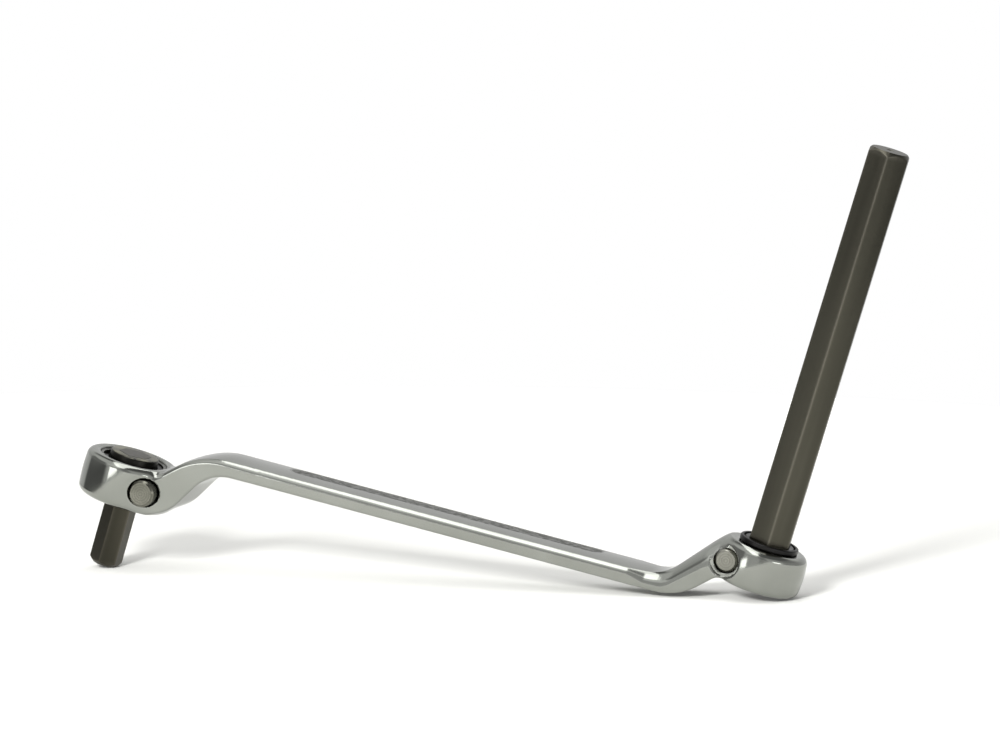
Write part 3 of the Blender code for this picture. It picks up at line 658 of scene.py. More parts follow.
def true_normals(piece, field):
    """Shade a piece with the slope of its field in place of the tilt of its facets."""
    mesh = piece.data
    flat = np.empty(len(mesh.vertices) * 3, np.float32)
    mesh.vertices.foreach_get("co", flat)
    points = (flat.reshape(-1, 3).astype(float) / MM - tool_origin) @ TOOL_AXES.T
    slope = gradient(field, points, NORMAL_REACH)
    slope /= np.linalg.norm(slope, axis=1, keepdims=True).clip(1e-6)
    mesh.set_sharp_from_angle(angle=math.pi)
    mesh.normals_split_custom_set_from_vertices((slope @ TOOL_AXES).tolist())


evenness = np.linalg.norm(gradient(forged_body, body_points, EDGE_REACH), axis=1).clip(0, 1)
upper_at = np.interp(body_points[:, 0], upper_line.real, upper_line.imag)
on_top = body_points[:, 2] > upper_at + HANDLE_LIFT - HANDLE_CROWN - 3 * PANEL_DEPTH
panel_mask = panel_share(body_points[:, 0], body_points[:, 1]) * on_top
# Painted shade: the walls inside the rings join the panel mask and get its dark finish.
bore_shade_mask = np.maximum(*(bore_shade_share(head, *body_points.T) for head in HEADS))
body = add_piece("forged_body", body_points, body_quads, "body", "chrome_plate", "spanner_body",
                 masks={"edge": 1 - evenness, "panel": np.maximum(panel_mask, bore_shade_mask)})
true_normals(body, forged_body)

# %% [markdown]
# ## Hexagon keys
#
# Each key is a hardened hexagon bar, cut off on a lathe: the turned chamfer meets the six flats
# in scallops, and a small centre dimple is left in the tip. A six-sided cylinder with a bevel has
# no scallops, so the bar is one grid. Its angle runs round a hexagon whose corners are softened by
# a high power mean of the six flats.

# %% Round grids and the hexagon
KEY_COLUMNS = 240
EDGE_CROWD = 0.85
FLATS_POWER = 110


def crowded_angles(turn):
    """Angles round a hexagon, closer together at its six corners."""
    even = round_angles(KEY_COLUMNS)
    return even - EDGE_CROWD / 6 * np.sin(6 * even) + turn + np.pi / 2


def hexagon(angles, flats, turn):
    """Radius of a hexagon with soft corners: the power mean of the six flats' distances."""
    normals = turn + np.pi / 3 * np.arange(6)
    facing = np.cos(angles[..., None] - normals).clip(1e-3)
    return flats / 2 * np.sum(facing ** FLATS_POWER, -1) ** (-1 / FLATS_POWER)


def round_grid(radius, height, angles):
    """Points at a radius and a height round the z axis, for rows of heights and columns of angles."""
    radius, height, angles = np.broadcast_arrays(radius, height, angles)
    return np.stack((radius * np.cos(angles), radius * np.sin(angles), height), -1)


def resampled(line, step):
    """The same line with points at most a step apart, its own points kept."""
    runs = [np.linspace(start, end, max(1, math.ceil(abs(end - start) / step)), endpoint=False)
            for start, end in zip(line, line[1:])]
    return np.concatenate([*runs, line[-1:]])


print(f"corners of the 8 mm hexagon: {2 * hexagon(crowded_angles(0), 8.0, 0).max():.2f} mm apart")

# %% [markdown]
# ### The keys
#
# The rows of a key follow its turned outline, close together at both ends. At each point the
# smaller radius of outline and hexagon wins, again with a soft power, and that draws the scallops.
# Wear goes to the six corners and the rim of the tip.

# %% Keys
SCALLOP_POWER = 60
KEY_TIP_CHAMFER = 1.2
KEY_BACK_CHAMFER = 0.12
KEY_EDGE = 0.2
KEY_BENDS = (0.12, 0.3, 0.25, 0.05, 0.05)
KEY_STEP = 0.12
FINE_ENDS = 3
COARSE_ROWS = 40
DIMPLE_RADIUS = 0.9
DIMPLE_DEPTH = 0.4
KEY_BACK_PROUD = 0.04
CORNER_WEAR = 0.22
RIM_WEAR = 0.5
RIM_SHARE = 0.7
RIM_DROP = 0.6


def add_key(head):
    """Hexagon bar inside a turned outline, closed at the dimple and at the back."""
    turn = math.radians(head.turn_deg)
    low = -head.height / 2 - head.hub_proud - KEY_BACK_PROUD
    widest = head.flats / math.sqrt(3) + KEY_EDGE
    outline = [complex(0, head.reach - DIMPLE_DEPTH), complex(DIMPLE_RADIUS, head.reach),
               complex(widest - KEY_TIP_CHAMFER, head.reach),
               complex(widest, head.reach - KEY_TIP_CHAMFER),
               complex(widest, low + KEY_BACK_CHAMFER),
               complex(widest - KEY_BACK_CHAMFER, low), complex(0, low)]
    fine = resampled(rounded(outline, KEY_BENDS), KEY_STEP)
    near_end = (fine.imag > head.reach - FINE_ENDS) | (fine.imag < low + FINE_ENDS)
    line = fine[near_end | (np.arange(len(fine)) % COARSE_ROWS == 0)]
    angles = crowded_angles(turn)
    turned = line.real[:, None]
    ratio = turned / hexagon(angles, head.flats, turn)
    radius = turned * (1 + ratio ** SCALLOP_POWER) ** (-1 / SCALLOP_POWER)
    points = head.to_tool(round_grid(radius, line.imag[:, None], angles))
    from_corner = np.abs((angles - turn - np.pi / 2 + np.pi / 6) % (np.pi / 3) - np.pi / 6)
    edge = np.exp(-(from_corner * head.flats / 2 / CORNER_WEAR) ** 2)
    rim = np.exp(-((line.imag - head.reach + KEY_TIP_CHAMFER * RIM_DROP) / RIM_WEAR) ** 2)
    masks = {"edge": np.maximum(edge[None, :], RIM_SHARE * rim[:, None])}
    return add_piece(f"{head.name}_bar", points, grid_faces(*points.shape[:2]),
                     f"{head.name}_drive", "gunmetal", head.name, masks=masks)


keys = [add_key(head) for head in HEADS]

# %% [markdown]
# ## Turned rings
#
# Collars and washers are lathe work and a seal is moulded, but each is a small closed profile
# carried round the axis. A torus or a bevelled tube would do for one of them; a profile does for
# all. The collar is the black dust ring that the key stands in, and its rounded upper edge is what
# catches the light.

# %% Turned rings
RING_COLUMNS = 144
COLLAR_RADIUS = 6.0
COLLAR_EDGE = 0.3
COLLAR_SHARE = 0.45
WASHER_THICKNESS = 0.6
WASHER_WIDTH = 0.5
SMALL_EDGE = 0.08
SEAL_FLAT = 0.001


def box(inner, outer, low, high):
    """Corners of a rectangle of radius and height, from its upper inner one round."""
    return [complex(inner, high), complex(outer, high), complex(outer, low), complex(inner, low)]


def add_ring(head, kind, corners, bends, carrier, slot):
    """Closed profile of radius and height, rounded at its corners and carried round the axis."""
    line = rounded_loop(corners, bends)
    points = round_grid(line.real[:, None], line.imag[:, None], round_angles(RING_COLUMNS))
    return add_head_piece(head, f"{kind}_ring", points, carrier, slot, kind, loop=True)


def add_collar(head):
    """Dust collar on the drive hub."""
    low, high = head.height / 2 + FACE_GAP, head.height / 2 + head.collar
    edge = min(COLLAR_EDGE, (high - low) * COLLAR_SHARE)
    return add_ring(head, "collar", box(HUB_RADIUS + FIT_GAP, COLLAR_RADIUS, low, high),
                    (SMALL_EDGE, edge, SMALL_EDGE, SMALL_EDGE), "drive", "black_oxide")


def snap_top(head):
    """Upper face of the snap ring."""
    return -head.height / 2 + SNAP_DEPTH + FACE_GAP + SNAP_THICKNESS


def washer_top(head):
    """Upper face of the thrust washer."""
    return snap_top(head) + FACE_GAP + WASHER_THICKNESS


def add_washer(head):
    """Thrust washer behind the gear."""
    outer, high = BORE_RADIUS - FACE_GAP, washer_top(head)
    corners = box(outer - WASHER_WIDTH, outer, high - WASHER_THICKNESS, high)
    return add_ring(head, "thrust_washer", corners, (SMALL_EDGE,) * 4, "body", "ground_steel")


def add_seal(head):
    """Round seal in the lip: a square profile rounded until it is nearly a circle."""
    inner, high = HUB_RADIUS + FIT_GAP, head.height / 2 - LIP / 2 + SEAL_SECTION / 2
    corners = box(inner, inner + SEAL_SECTION, high - SEAL_SECTION, high)
    return add_ring(head, "seal", corners, (SEAL_SECTION / 2 - SEAL_FLAT,) * 4, "body",
                    "seal_rubber")


collars = [add_collar(head) for head in HEADS]
washers = [add_washer(head) for head in HEADS]
seals = [add_seal(head) for head in HEADS]

# %% [markdown]
# ## Snap rings
#
# The open ring that keeps the gear in its bore is a flat rectangle carried along an arc. A curve
# with a bevel profile could make it, but its ends would need caps. Here the two ends are closed by
# shrinking the first and last sections to their own middle, which the weld then makes a point.

# %% Snap rings
SNAP_WIDTH = 1.05
SNAP_OPENING_DEG = 34.0


def add_snap_ring(head):
    """Rounded rectangle carried along an arc that leaves an opening away from the neck."""
    outer, inner = SNAP_RADIUS, SNAP_RADIUS - SNAP_WIDTH
    high = snap_top(head)
    low = high - SNAP_THICKNESS
    section = rounded_loop(box(inner, outer, low, high), (SMALL_EDGE,) * 4)
    half = math.radians(SNAP_OPENING_DEG / 2)
    angles = np.linspace(half, 2 * np.pi - half, RING_COLUMNS)
    angles = np.concatenate((angles[:1], angles, angles[-1:]))[:, None]
    rows = np.repeat(section[None, :], len(angles), 0)
    rows[[0, -1]] = complex((inner + outer) / 2, (high + low) / 2)
    points = round_grid(rows.real, rows.imag, angles)
    return add_head_piece(head, "circlip", points, "body", "black_oxide", "snap_ring")


snap_rings = [add_snap_ring(head) for head in HEADS]

# %% [markdown]
# ## Ratchet gears
#
# A gear is one closed profile too, but its radius changes with the angle on some rows: the tooth
# rows follow a triangle wave, and the bore rows follow the key's hexagon. Cutting teeth out one by
# one would be slower and leave seams. Here each row only says how much of either it has.

# %% Gears
GEAR_TEETH = 36
TOOTH_DEPTH = 0.4
BACK_HUB_RADIUS = 5.1
HUB_CHAMFER = 0.3
HUB_SINK = 0.15
GEAR_EDGE = 0.1
SOCKET_LEAD = 0.02
SOCKET_GAP = 0.03
GEAR_COLUMNS = GEAR_TEETH * 10


def add_gear(head):
    """Profile of hubs and teeth round the axis; row weights bring in the teeth and the hexagon.

    A row is radius, height, share of teeth and share of hexagon; a hexagon row's radius counts
    from the hexagon.
    """
    turn = math.radians(head.turn_deg)
    tooth_low, tooth_high = washer_top(head) + FACE_GAP, head.height / 2 - LIP - FACE_GAP
    hub_low = -head.height / 2 - head.hub_proud
    hub_high = head.height / 2 + head.collar - HUB_SINK
    edge, lead, root = GEAR_EDGE, SOCKET_LEAD, GEAR_RADIUS
    back, front = BACK_HUB_RADIUS, HUB_RADIUS
    rows = np.array((
        (back - HUB_CHAMFER, hub_low, 0, 0), (back - edge, hub_low + edge, 0, 0),
        (back, hub_low + HUB_CHAMFER, 0, 0), (back, tooth_low, 0, 0),
        (root - edge, tooth_low, 1, 0), (root, tooth_low + edge, 1, 0),
        (root, tooth_high - edge, 1, 0), (root - edge, tooth_high, 1, 0),
        (front, tooth_high, 0, 0), (front, hub_high - HUB_CHAMFER, 0, 0),
        (front - HUB_CHAMFER, hub_high, 0, 0), (edge, hub_high, 0, 1),
        (0, hub_high - edge, 0, 1), (0, hub_low + lead, 0, 1), (lead, hub_low, 0, 1)))
    radius, height, toothed, hexed = rows.T[..., None]
    angles = round_angles(GEAR_COLUMNS) + np.pi / 2
    wave = np.abs((angles * GEAR_TEETH / np.pi - GEAR_TEETH / 2 + 1) % 2 - 1)
    socket = hexagon(angles, head.flats + 2 * SOCKET_GAP, turn) + radius
    grid = np.where(hexed > 0, socket, radius - toothed * TOOTH_DEPTH * (1 - wave))
    face = np.broadcast_to(height <= hub_low, grid.shape)
    return add_head_piece(head, "wheel", round_grid(grid, height, angles), "drive", "black_oxide",
                          "gear", loop=True, masks={"face": face})


gears = [add_gear(head) for head in HEADS]

# %% [markdown]
# ## Reversing pins
#
# A push-through pin sits across each neck. Its ends are what shows: a flat face inside a turned
# chamfer. Inside, a toothed saddle faces the gear at either end of the travel, and a track with a
# low ridge holds the sprung ball. Booleans could cut both, but saddle and track are only limits on
# the plain bar's radius, so the pin is still one grid of angle and length.

# %% Pins
PIN_TRAVEL = 3.0
PIN_CHAMFER = 0.45
PIN_BEND = 0.08
PIN_STEP = 0.1
PIN_COLUMNS = 120
DETENT_DEPTH = 0.5
PAWL_GAP = 0.15
RIDGE = 0.1
TURNED_PITCH = 0.5


def chamfered_bar(radius, half, chamfer, bend):
    """Side of a round bar from the middle of one end to the middle of the other."""
    return rounded([complex(0, half), complex(radius - chamfer, half),
                    complex(radius, half - chamfer), complex(radius, chamfer - half),
                    complex(radius - chamfer, -half), complex(0, -half)], (bend,) * 4)


def detent_reach(head):
    """Distance of the ball's middle from the pin's axis."""
    return head.pin_radius - DETENT_DEPTH + FIT_GAP + BALL_RADIUS


def add_pin(head):
    """Chamfered bar along y: a ray at each angle stops at the bar, the track or the saddle."""
    half = (head.seat_width + PIN_TRAVEL) / 2
    line = resampled(chamfered_bar(head.pin_radius, half, PIN_CHAMFER, PIN_BEND), PIN_STEP)
    bar, along = line.real[:, None], line.imag[:, None]
    angles = round_angles(PIN_COLUMNS)[None, :]
    seat = BALL_RADIUS + FIT_GAP
    past = np.maximum(np.abs(along) - PIN_TRAVEL / 2, 0)
    track = np.sqrt(np.maximum(seat ** 2 - past ** 2, 0))
    track -= RIDGE * np.maximum(1 - np.abs(along) / (PIN_TRAVEL / 2), 0)
    reach = detent_reach(head)
    off = angles - np.pi - math.radians(DETENT_DEG)
    room = np.maximum(track ** 2 - (reach * np.sin(off)) ** 2, 0)
    groove = np.where((np.cos(off) > 0) & (room > 0), reach * np.cos(off) - np.sqrt(room), bar)
    radius = np.minimum(bar, groove)
    saddle = GEAR_RADIUS + PAWL_GAP
    pitch = past / saddle * GEAR_TEETH / np.pi
    ripple = TOOTH_DEPTH * (1 - np.abs((pitch + 1) % 2 - 1)) * (past > 0)
    wall = head.pin_distance - np.sqrt((saddle + ripple) ** 2 - np.minimum(past, saddle) ** 2)
    across = np.minimum(radius * np.cos(angles), wall)
    points = np.stack(np.broadcast_arrays(across - head.pin_distance, along + head.pin_rest,
                                          radius * np.sin(angles) - head.pin_drop), -1)
    marks = 0.5 + 0.5 * np.sin(2 * np.pi * bar / TURNED_PITCH)
    marks = np.broadcast_to(np.where(np.abs(along) > half - PIN_CHAMFER, marks, 0), radius.shape)
    return add_head_piece(head, "push_pin", points, "pin", "ground_steel", "pawl_pin",
                          masks={"turned": marks})


pins = [add_pin(head) for head in HEADS]

# %% [markdown]
# ## Balls
#
# Behind each pin, hidden in the neck, a steel ball sits in the track. Blender's own sphere would
# do, but this grid has its poles on the axis of the slanted hole, which the spring shares.

# %% Balls
BALL_ROWS = 25
BALL_COLUMNS = 48
tilt = math.radians(DETENT_DEG)
HOLE_OUT = np.array((-math.cos(tilt), 0, -math.sin(tilt)))
HOLE_ACROSS = np.array((0.0, 1.0, 0.0))
HOLE_BESIDE = np.cross(HOLE_OUT, HOLE_ACROSS)


def pin_middle(head):
    """Point of the pin's axis that the blind hole aims at."""
    return np.array((-head.pin_distance, 0, -head.pin_drop))


def add_ball(head):
    """Ball: half a circle carried round the hole's axis."""
    middle = pin_middle(head) + HOLE_OUT * detent_reach(head)
    polar = np.linspace(0, np.pi, BALL_ROWS)[:, None, None]
    angles = round_angles(BALL_COLUMNS)[None, :, None]
    ring = np.cos(angles) * HOLE_ACROSS + np.sin(angles) * HOLE_BESIDE
    points = middle + BALL_RADIUS * (np.cos(polar) * HOLE_OUT + np.sin(polar) * ring)
    return add_head_piece(head, "steel_ball", points, "ball", "ground_steel", "detent_ball")


balls = [add_ball(head) for head in HEADS]

# %% [markdown]
# ## Springs
#
# The spring is a wire carried along a helix, with one close turn at either end as a real one has,
# so that it stands flat on the ball. A Screw modifier keeps one pitch all the way, and this helix
# doesn't.

# %% Springs
SPRING_RADIUS = 0.58
SPRING_WIRE = 0.14
SPRING_TURNS = 7
SPRING_ROWS = 260
WIRE_COLUMNS = 10
CLOSE_PITCH = 2.2


def add_spring(head):
    """Wire carried along a helix whose pitch closes at both ends.

    Each row of the grid is a circle across the helix, its first and last shrunk to a point.
    """
    start = pin_middle(head)
    low = detent_reach(head) + BALL_RADIUS + FACE_GAP + SPRING_WIRE
    high = DETENT_HOLE - FACE_GAP - SPRING_WIRE
    turns = np.linspace(0, SPRING_TURNS, SPRING_ROWS)
    turns = np.concatenate((turns[:1], turns, turns[-1:]))[:, None]
    closed = CLOSE_PITCH * SPRING_WIRE
    marks = (0, 1, SPRING_TURNS - 1, SPRING_TURNS)
    rise = np.interp(turns, marks, (low, low + closed, high - closed, high))
    angle = 2 * np.pi * turns
    radial = np.cos(angle) * HOLE_ACROSS + np.sin(angle) * HOLE_BESIDE
    path = start + rise * HOLE_OUT + SPRING_RADIUS * radial
    size = np.full((len(path), 1, 1), SPRING_WIRE)
    size[[0, -1]] = 0
    angles = round_angles(WIRE_COLUMNS)[None, :, None]
    circle = np.cos(angles) * radial[:, None] + np.sin(angles) * HOLE_OUT
    points = path[:, None] + size * circle
    coil = add_head_piece(head, "coil", points, "body", "ground_steel", "detent_spring")
    far_end = head.to_tool(start + (high + SPRING_WIRE) * HOLE_OUT) @ TOOL_AXES + tool_origin
    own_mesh(coil)
    return coil


springs = [add_spring(head) for head in HEADS]

# %% [markdown]
# ## Dowels
#
# A dowel through the back hub locks each key in its gear. It is hidden too, and the chamfered bar
# of the reversing pin gives its side.

# %% Dowels
DOWEL_RADIUS = 0.6
DOWEL_COLUMNS = 32
DOWEL_BEND = 0.05


def add_dowel(head):
    """Chamfered pin through the back hub and the key, square to two flats."""
    line = chamfered_bar(DOWEL_RADIUS, BACK_HUB_RADIUS - FACE_GAP, DOWEL_RADIUS / 3, DOWEL_BEND)
    turn = math.radians(head.turn_deg) + np.pi / 6
    along = np.array((math.sin(turn), -math.cos(turn), 0))
    aside = np.array((math.cos(turn), math.sin(turn), 0))
    level = (-head.height / 2 - head.hub_proud + washer_top(head)) / 2
    angles = round_angles(DOWEL_COLUMNS)[None, :, None]
    radius, length = line.real[:, None, None], line.imag[:, None, None]
    up = np.array((0, 0, 1.0))
    points = length * along + radius * (np.cos(angles) * aside + np.sin(angles) * up) + level * up
    return add_head_piece(head, "dowel", points, "drive", "ground_steel", "cross_pin")


dowels = [add_dowel(head) for head in HEADS]

# %% [markdown]
# ## Nodes in few words
#
# A finish is a tree of nodes, and a script takes three steps for each: make it, set it, link it.
# The node editor would be quicker once, but what was done there can't be read. These helpers take
# the three steps in one call, and name the few nodes that most finishes use.

# %% Node helpers
def plug(tree, socket, value):
    """Link another node's output to an input, or set a plain value on it."""
    if isinstance(value, bpy.types.NodeSocket):
        tree.links.new(value, socket)
    else:
        socket.default_value = value


def add_node(tree, kind, inputs, **settings):
    """New shader node: settings on the node itself, then a link or a value on each input."""
    node = tree.nodes.new(f"ShaderNode{kind}")
    for name, value in settings.items():
        setattr(node, name, value)
    for name, value in inputs.items():
        plug(tree, node.inputs[name], value)
    return node


def ranged(tree, value, before=(0, 1), after=(0, 1), step="LINEAR"):
    """A range of values carried to another, in a straight line or a smooth step."""
    ends = {"From Min": before[0], "From Max": before[1], "To Min": after[0], "To Max": after[1]}
    node = add_node(tree, "MapRange", {"Value": value, **ends}, interpolation_type=step)
    return node.outputs["Result"]


def mixed(tree, factor, first, second, kind="RGBA"):
    """Blend of two colours, or of two values where kind is FLOAT."""
    node = add_node(tree, "Mix", {"Factor": factor, "A": first, "B": second}, data_type=kind)
    return node.outputs["Result"]


def product(tree, first, second):
    """Two values multiplied."""
    return add_node(tree, "Math", {0: first, 1: second}, operation="MULTIPLY").outputs["Value"]


def masked(tree, mask):
    """A mask of the mesh as a value."""
    return add_node(tree, "Attribute", {}, attribute_name=mask).outputs["Fac"]


def new_material(name):
    """Material, its node tree and its shader."""
    material = bpy.data.materials.new(name)
    material.use_nodes = True
    return material, material.node_tree, material.node_tree.nodes["Principled BSDF"]


print("node helpers:", ", ".join(helper.__name__ for helper in (ranged, mixed, product, masked)))

# %% [markdown]
# ## Finishes
#
# All but the rubber seals is metal that hands have used. So one node group gives every finish the
# same three things: a fine grain, broad smudges, and wear that follows the edges and is broken up
# by the smudges. On the chrome the colour that this wear brings in is also a painted highlight
# along the edges. Painting each piece by hand would fit only that piece. The group puts out masks
# only, and each material mixes them into its own colours.

# %% Shared wear group
SMUDGE_RANGE = (0.3, 0.7)


def wear_group():
    """Node group: coordinates and an edge mask in, grain, smudge and wear out."""
    group = bpy.data.node_groups.new("used metal", "ShaderNodeTree")
    for name, kind in (("Vector", "NodeSocketVector"), ("Edge", "NodeSocketFloat"),
                       ("Grain Scale", "NodeSocketFloat"), ("Smudge Scale", "NodeSocketFloat")):
        group.interface.new_socket(name, in_out="INPUT", socket_type=kind)
    for name in ("Grain", "Smudge", "Wear"):
        group.interface.new_socket(name, in_out="OUTPUT", socket_type="NodeSocketFloat")
    enter = group.nodes.new("NodeGroupInput")
    leave = group.nodes.new("NodeGroupOutput")

    def noise(scale, detail, roughness):
        return add_node(group, "TexNoise", {
            "Vector": enter.outputs["Vector"], "Scale": enter.outputs[scale],
            "Detail": detail, "Roughness": roughness}).outputs["Fac"]

    grain = noise("Grain Scale", 4.0, 0.6)
    smudge = ranged(group, noise("Smudge Scale", 3.0, 0.55), SMUDGE_RANGE)
    wear = product(group, enter.outputs["Edge"], smudge)
    for name, value in (("Grain", grain), ("Smudge", smudge), ("Wear", wear)):
        plug(group, leave.inputs[name], value)
    return group


WEAR = wear_group()
print("wear group:", ", ".join(item.name for item in WEAR.interface.items_tree))

# %% [markdown]
# ### One metal from a few numbers
#
# A metal's look is its base colour and its roughness. The helper below builds one material from
# a dark, a light and a worn colour, a smooth and a rough value, and the scale of its grain; on the
# chrome the light worn colour is partly a painted highlight. A material for each piece, wired by
# hand, would repeat the same nodes eight times. Coordinates are turned into the tool frame first,
# so that the grain can be stretched along a key.

# %% Metal
GRAIN_DEPTH = 0.05 * MM
SMUDGE_SIZE = 12
KEY_GRAIN = dict(polish=(0.30, 0.42), grain=1500, stretch=(1, 1, 18), bump=0.25, edge="edge")
PIN_GRAIN = dict(polish=(0.20, 0.32), grain=1800, bump=0.2, edge="turned")


def metal(name, dark, light, worn_and_sheen, polish, grain, stretch=(1, 1, 1), bump=0.1, metallic=1.0,
          edge=None):
    """Principled metal: smudges mix dark to light; edges get wear, and on chrome a painted highlight.
    """
    material, tree, shader = new_material(name)
    place = tree.nodes.new("ShaderNodeTexCoord").outputs["Object"]
    turned = add_node(tree, "Mapping", {"Vector": place, "Rotation": (0, LEAN, 0),
                                        "Scale": stretch}, vector_type="TEXTURE")
    wear = add_node(tree, "Group", {}, name="wear", node_tree=WEAR)
    for socket, value in (("Vector", turned.outputs["Vector"]), ("Grain Scale", grain),
                          ("Smudge Scale", grain / SMUDGE_SIZE)):
        plug(tree, wear.inputs[socket], value)
    if edge:
        plug(tree, wear.inputs["Edge"], masked(tree, edge))
    colour = mixed(tree, wear.outputs["Smudge"], (*dark, 1), (*light, 1))
    relief = add_node(tree, "Bump", {"Height": wear.outputs["Grain"], "Strength": bump,
                                     "Distance": GRAIN_DEPTH})
    for socket, value in (("Metallic", metallic),
                          ("Base Color", mixed(tree, wear.outputs["Wear"], colour, (*worn_and_sheen, 1))),
                          ("Roughness", ranged(tree, wear.outputs["Smudge"], after=polish)),
                          ("Normal", relief.outputs["Normal"])):
        plug(tree, shader.inputs[socket], value)
    return material


# On the chrome the light worn colour at the edges is partly wear and partly a painted highlight.
chrome = metal("satin_chrome", dark=(0.272, 0.281, 0.256), light=(0.326, 0.335, 0.309),
               worn_and_sheen=(0.62, 0.625, 0.60), polish=(0.10, 0.16), grain=900, bump=0.10, edge="edge")
gunmetal = metal("oxide_gunmetal", dark=(0.054, 0.052, 0.041), light=(0.100, 0.095, 0.074),
                 worn_and_sheen=(0.18, 0.17, 0.14), **KEY_GRAIN)
black_oxide = metal("black_oxide", dark=(0.016, 0.016, 0.017), light=(0.035, 0.034, 0.033),
                    worn_and_sheen=(0.1, 0.1, 0.1), polish=(0.3, 0.45), grain=1500, bump=0.2)
# The short key's gunmetal is the long key's made darker: painted shade for the shadow it stands in.
shaded_short_gunmetal = metal("shaded_short_gunmetal", dark=(0.040, 0.038, 0.029), light=(0.074, 0.069, 0.053),
                       worn_and_sheen=(0.12, 0.11, 0.09), **KEY_GRAIN)
gear_oxide = metal("gear_oxide", dark=(0.016, 0.016, 0.015), light=(0.032, 0.031, 0.027),
                   worn_and_sheen=(0.33, 0.32, 0.23), polish=(0.26, 0.40), grain=4000, bump=0.2, edge="face")
ground_steel = metal("ground_steel", dark=(0.18, 0.18, 0.155), light=(0.26, 0.257, 0.226),
                     worn_and_sheen=(0.33, 0.327, 0.29), **PIN_GRAIN)
olive_steel = metal("olive_steel", dark=(0.10, 0.10, 0.082), light=(0.16, 0.158, 0.132),
                    worn_and_sheen=(0.23, 0.227, 0.19), **PIN_GRAIN)
rubber = metal("seal_rubber", dark=(0.013, 0.013, 0.014), light=(0.022, 0.022, 0.023),
               worn_and_sheen=(0.05, 0.05, 0.05), polish=(0.6, 0.75), grain=2000, bump=0.3, metallic=0.0)
made = (chrome, gunmetal, black_oxide, shaded_short_gunmetal, gear_oxide, ground_steel, olive_steel, rubber)
print("finishes:", ", ".join(material.name for material in made))

# %% [markdown]
# ### Matt panel, painted shade, and dressing the pieces
#
# The panel on the handle is the same steel without its shine. The walls inside the rings get that
# darker finish too, as painted shade. A second material would need its own faces and a hard
# border. A mask on the points fades from one finish to the other instead, and the grain breaks the
# darker one up.

# %% Matt panel, painted shade and dressing
PATCH_RANGE = (0.42, 0.56)
PATCH_LEAST = 0.6


def add_matt_panel_and_shade(material, colour, rough):
    """Let the panel mask, broken by the grain, bring a darker, rougher finish and painted shade."""
    tree = material.node_tree
    patchy = ranged(tree, tree.nodes["wear"].outputs["Grain"], PATCH_RANGE, (PATCH_LEAST, 1))
    share = product(tree, masked(tree, "panel"), patchy)
    for socket, value, kind in (("Base Color", (*colour, 1), "RGBA"), ("Roughness", rough, "FLOAT")):
        target = tree.nodes["Principled BSDF"].inputs[socket]
        plug(tree, target, mixed(tree, share, target.links[0].from_socket, value, kind))


def dress(pieces, material):
    """Give a material to pieces."""
    for piece in pieces:
        piece.data.materials.clear()
        piece.data.materials.append(material)
    print(f"{material.name}: {', '.join(piece.name for piece in pieces)}")


# This dark colour is the matt panel's, and painted shade on the walls inside the rings.
add_matt_panel_and_shade(chrome, colour=(0.08, 0.08, 0.072), rough=0.5)
dress([body], chrome)
dress(keys[:1], gunmetal)
# Painted shade: the short key gets the darker copy of the gunmetal.
dress(keys[1:], shaded_short_gunmetal)
dress(collars + snap_rings, black_oxide)
dress(gears, gear_oxide)
dress(pins[:1] + balls + springs + dowels + washers, ground_steel)
dress(pins[1:], olive_steel)
dress(seals, rubber)

# %% [markdown]
# ## Camera
#
# The camera is a long lens a metre away. It could be placed by eye, but its place was found by
# fitting the outline of the keys, rings and handle to the photograph, and it looks at one point of
# the spanner's middle plane.

# %% Camera
AZIMUTH = math.radians(17.838)
ELEVATION = math.radians(6.033)
DISTANCE = 0.989
LOOK_AT = Vector((0.003627, 0.0, 0.043083))
FOCAL_PIXELS = 4893.67
IMAGE_WIDTH = 1000
SENSOR = 36.0


def aim(item, target, turn, height, distance):
    """Place a camera or lamp round a target, by angles from -y and from level, and face it."""
    way = Vector((math.sin(turn) * math.cos(height), -math.cos(turn) * math.cos(height),
                  math.sin(height)))
    item.location = target + way * distance
    item.rotation_euler = (-way).to_track_quat("-Z", "Y").to_euler()


camera_data = bpy.data.cameras.new("camera")
camera_data.sensor_width = SENSOR
camera_data.lens = FOCAL_PIXELS * SENSOR / IMAGE_WIDTH
camera_data.clip_start = 0.05
camera_data.clip_end = 20
camera = link_object("camera", camera_data)
aim(camera, LOOK_AT, AZIMUTH, ELEVATION, DISTANCE)
bpy.context.scene.camera = camera
bpy.context.scene.view_settings.view_transform = "Standard"
print(f"lens {camera_data.lens:.1f} mm")

# %% [markdown]
# ## Floor
#
# The spanner stands on a pale sheet that keeps its shadow. A plane that runs to the horizon would
# need more light to look white, and chrome would show that light. So the floor is a disc of its own
# pale colour, with a glow that only the camera sees: faint near the spanner, and enough at the rim
# to run into the white behind it.

# %% Floor
FLOOR_RADIUS = 0.30
FLOOR_CENTRE = (-0.05, 0.06, 0)
FLOOR_FADE = (0.10, 0.26)
FLOOR_GLOW = (0.04, 0.45)
FLOOR_COLUMNS = 96


def seen_by_camera(tree):
    """1 for rays that come straight from the camera, 0 for all others."""
    return tree.nodes.new("ShaderNodeLightPath").outputs["Is Camera Ray"]


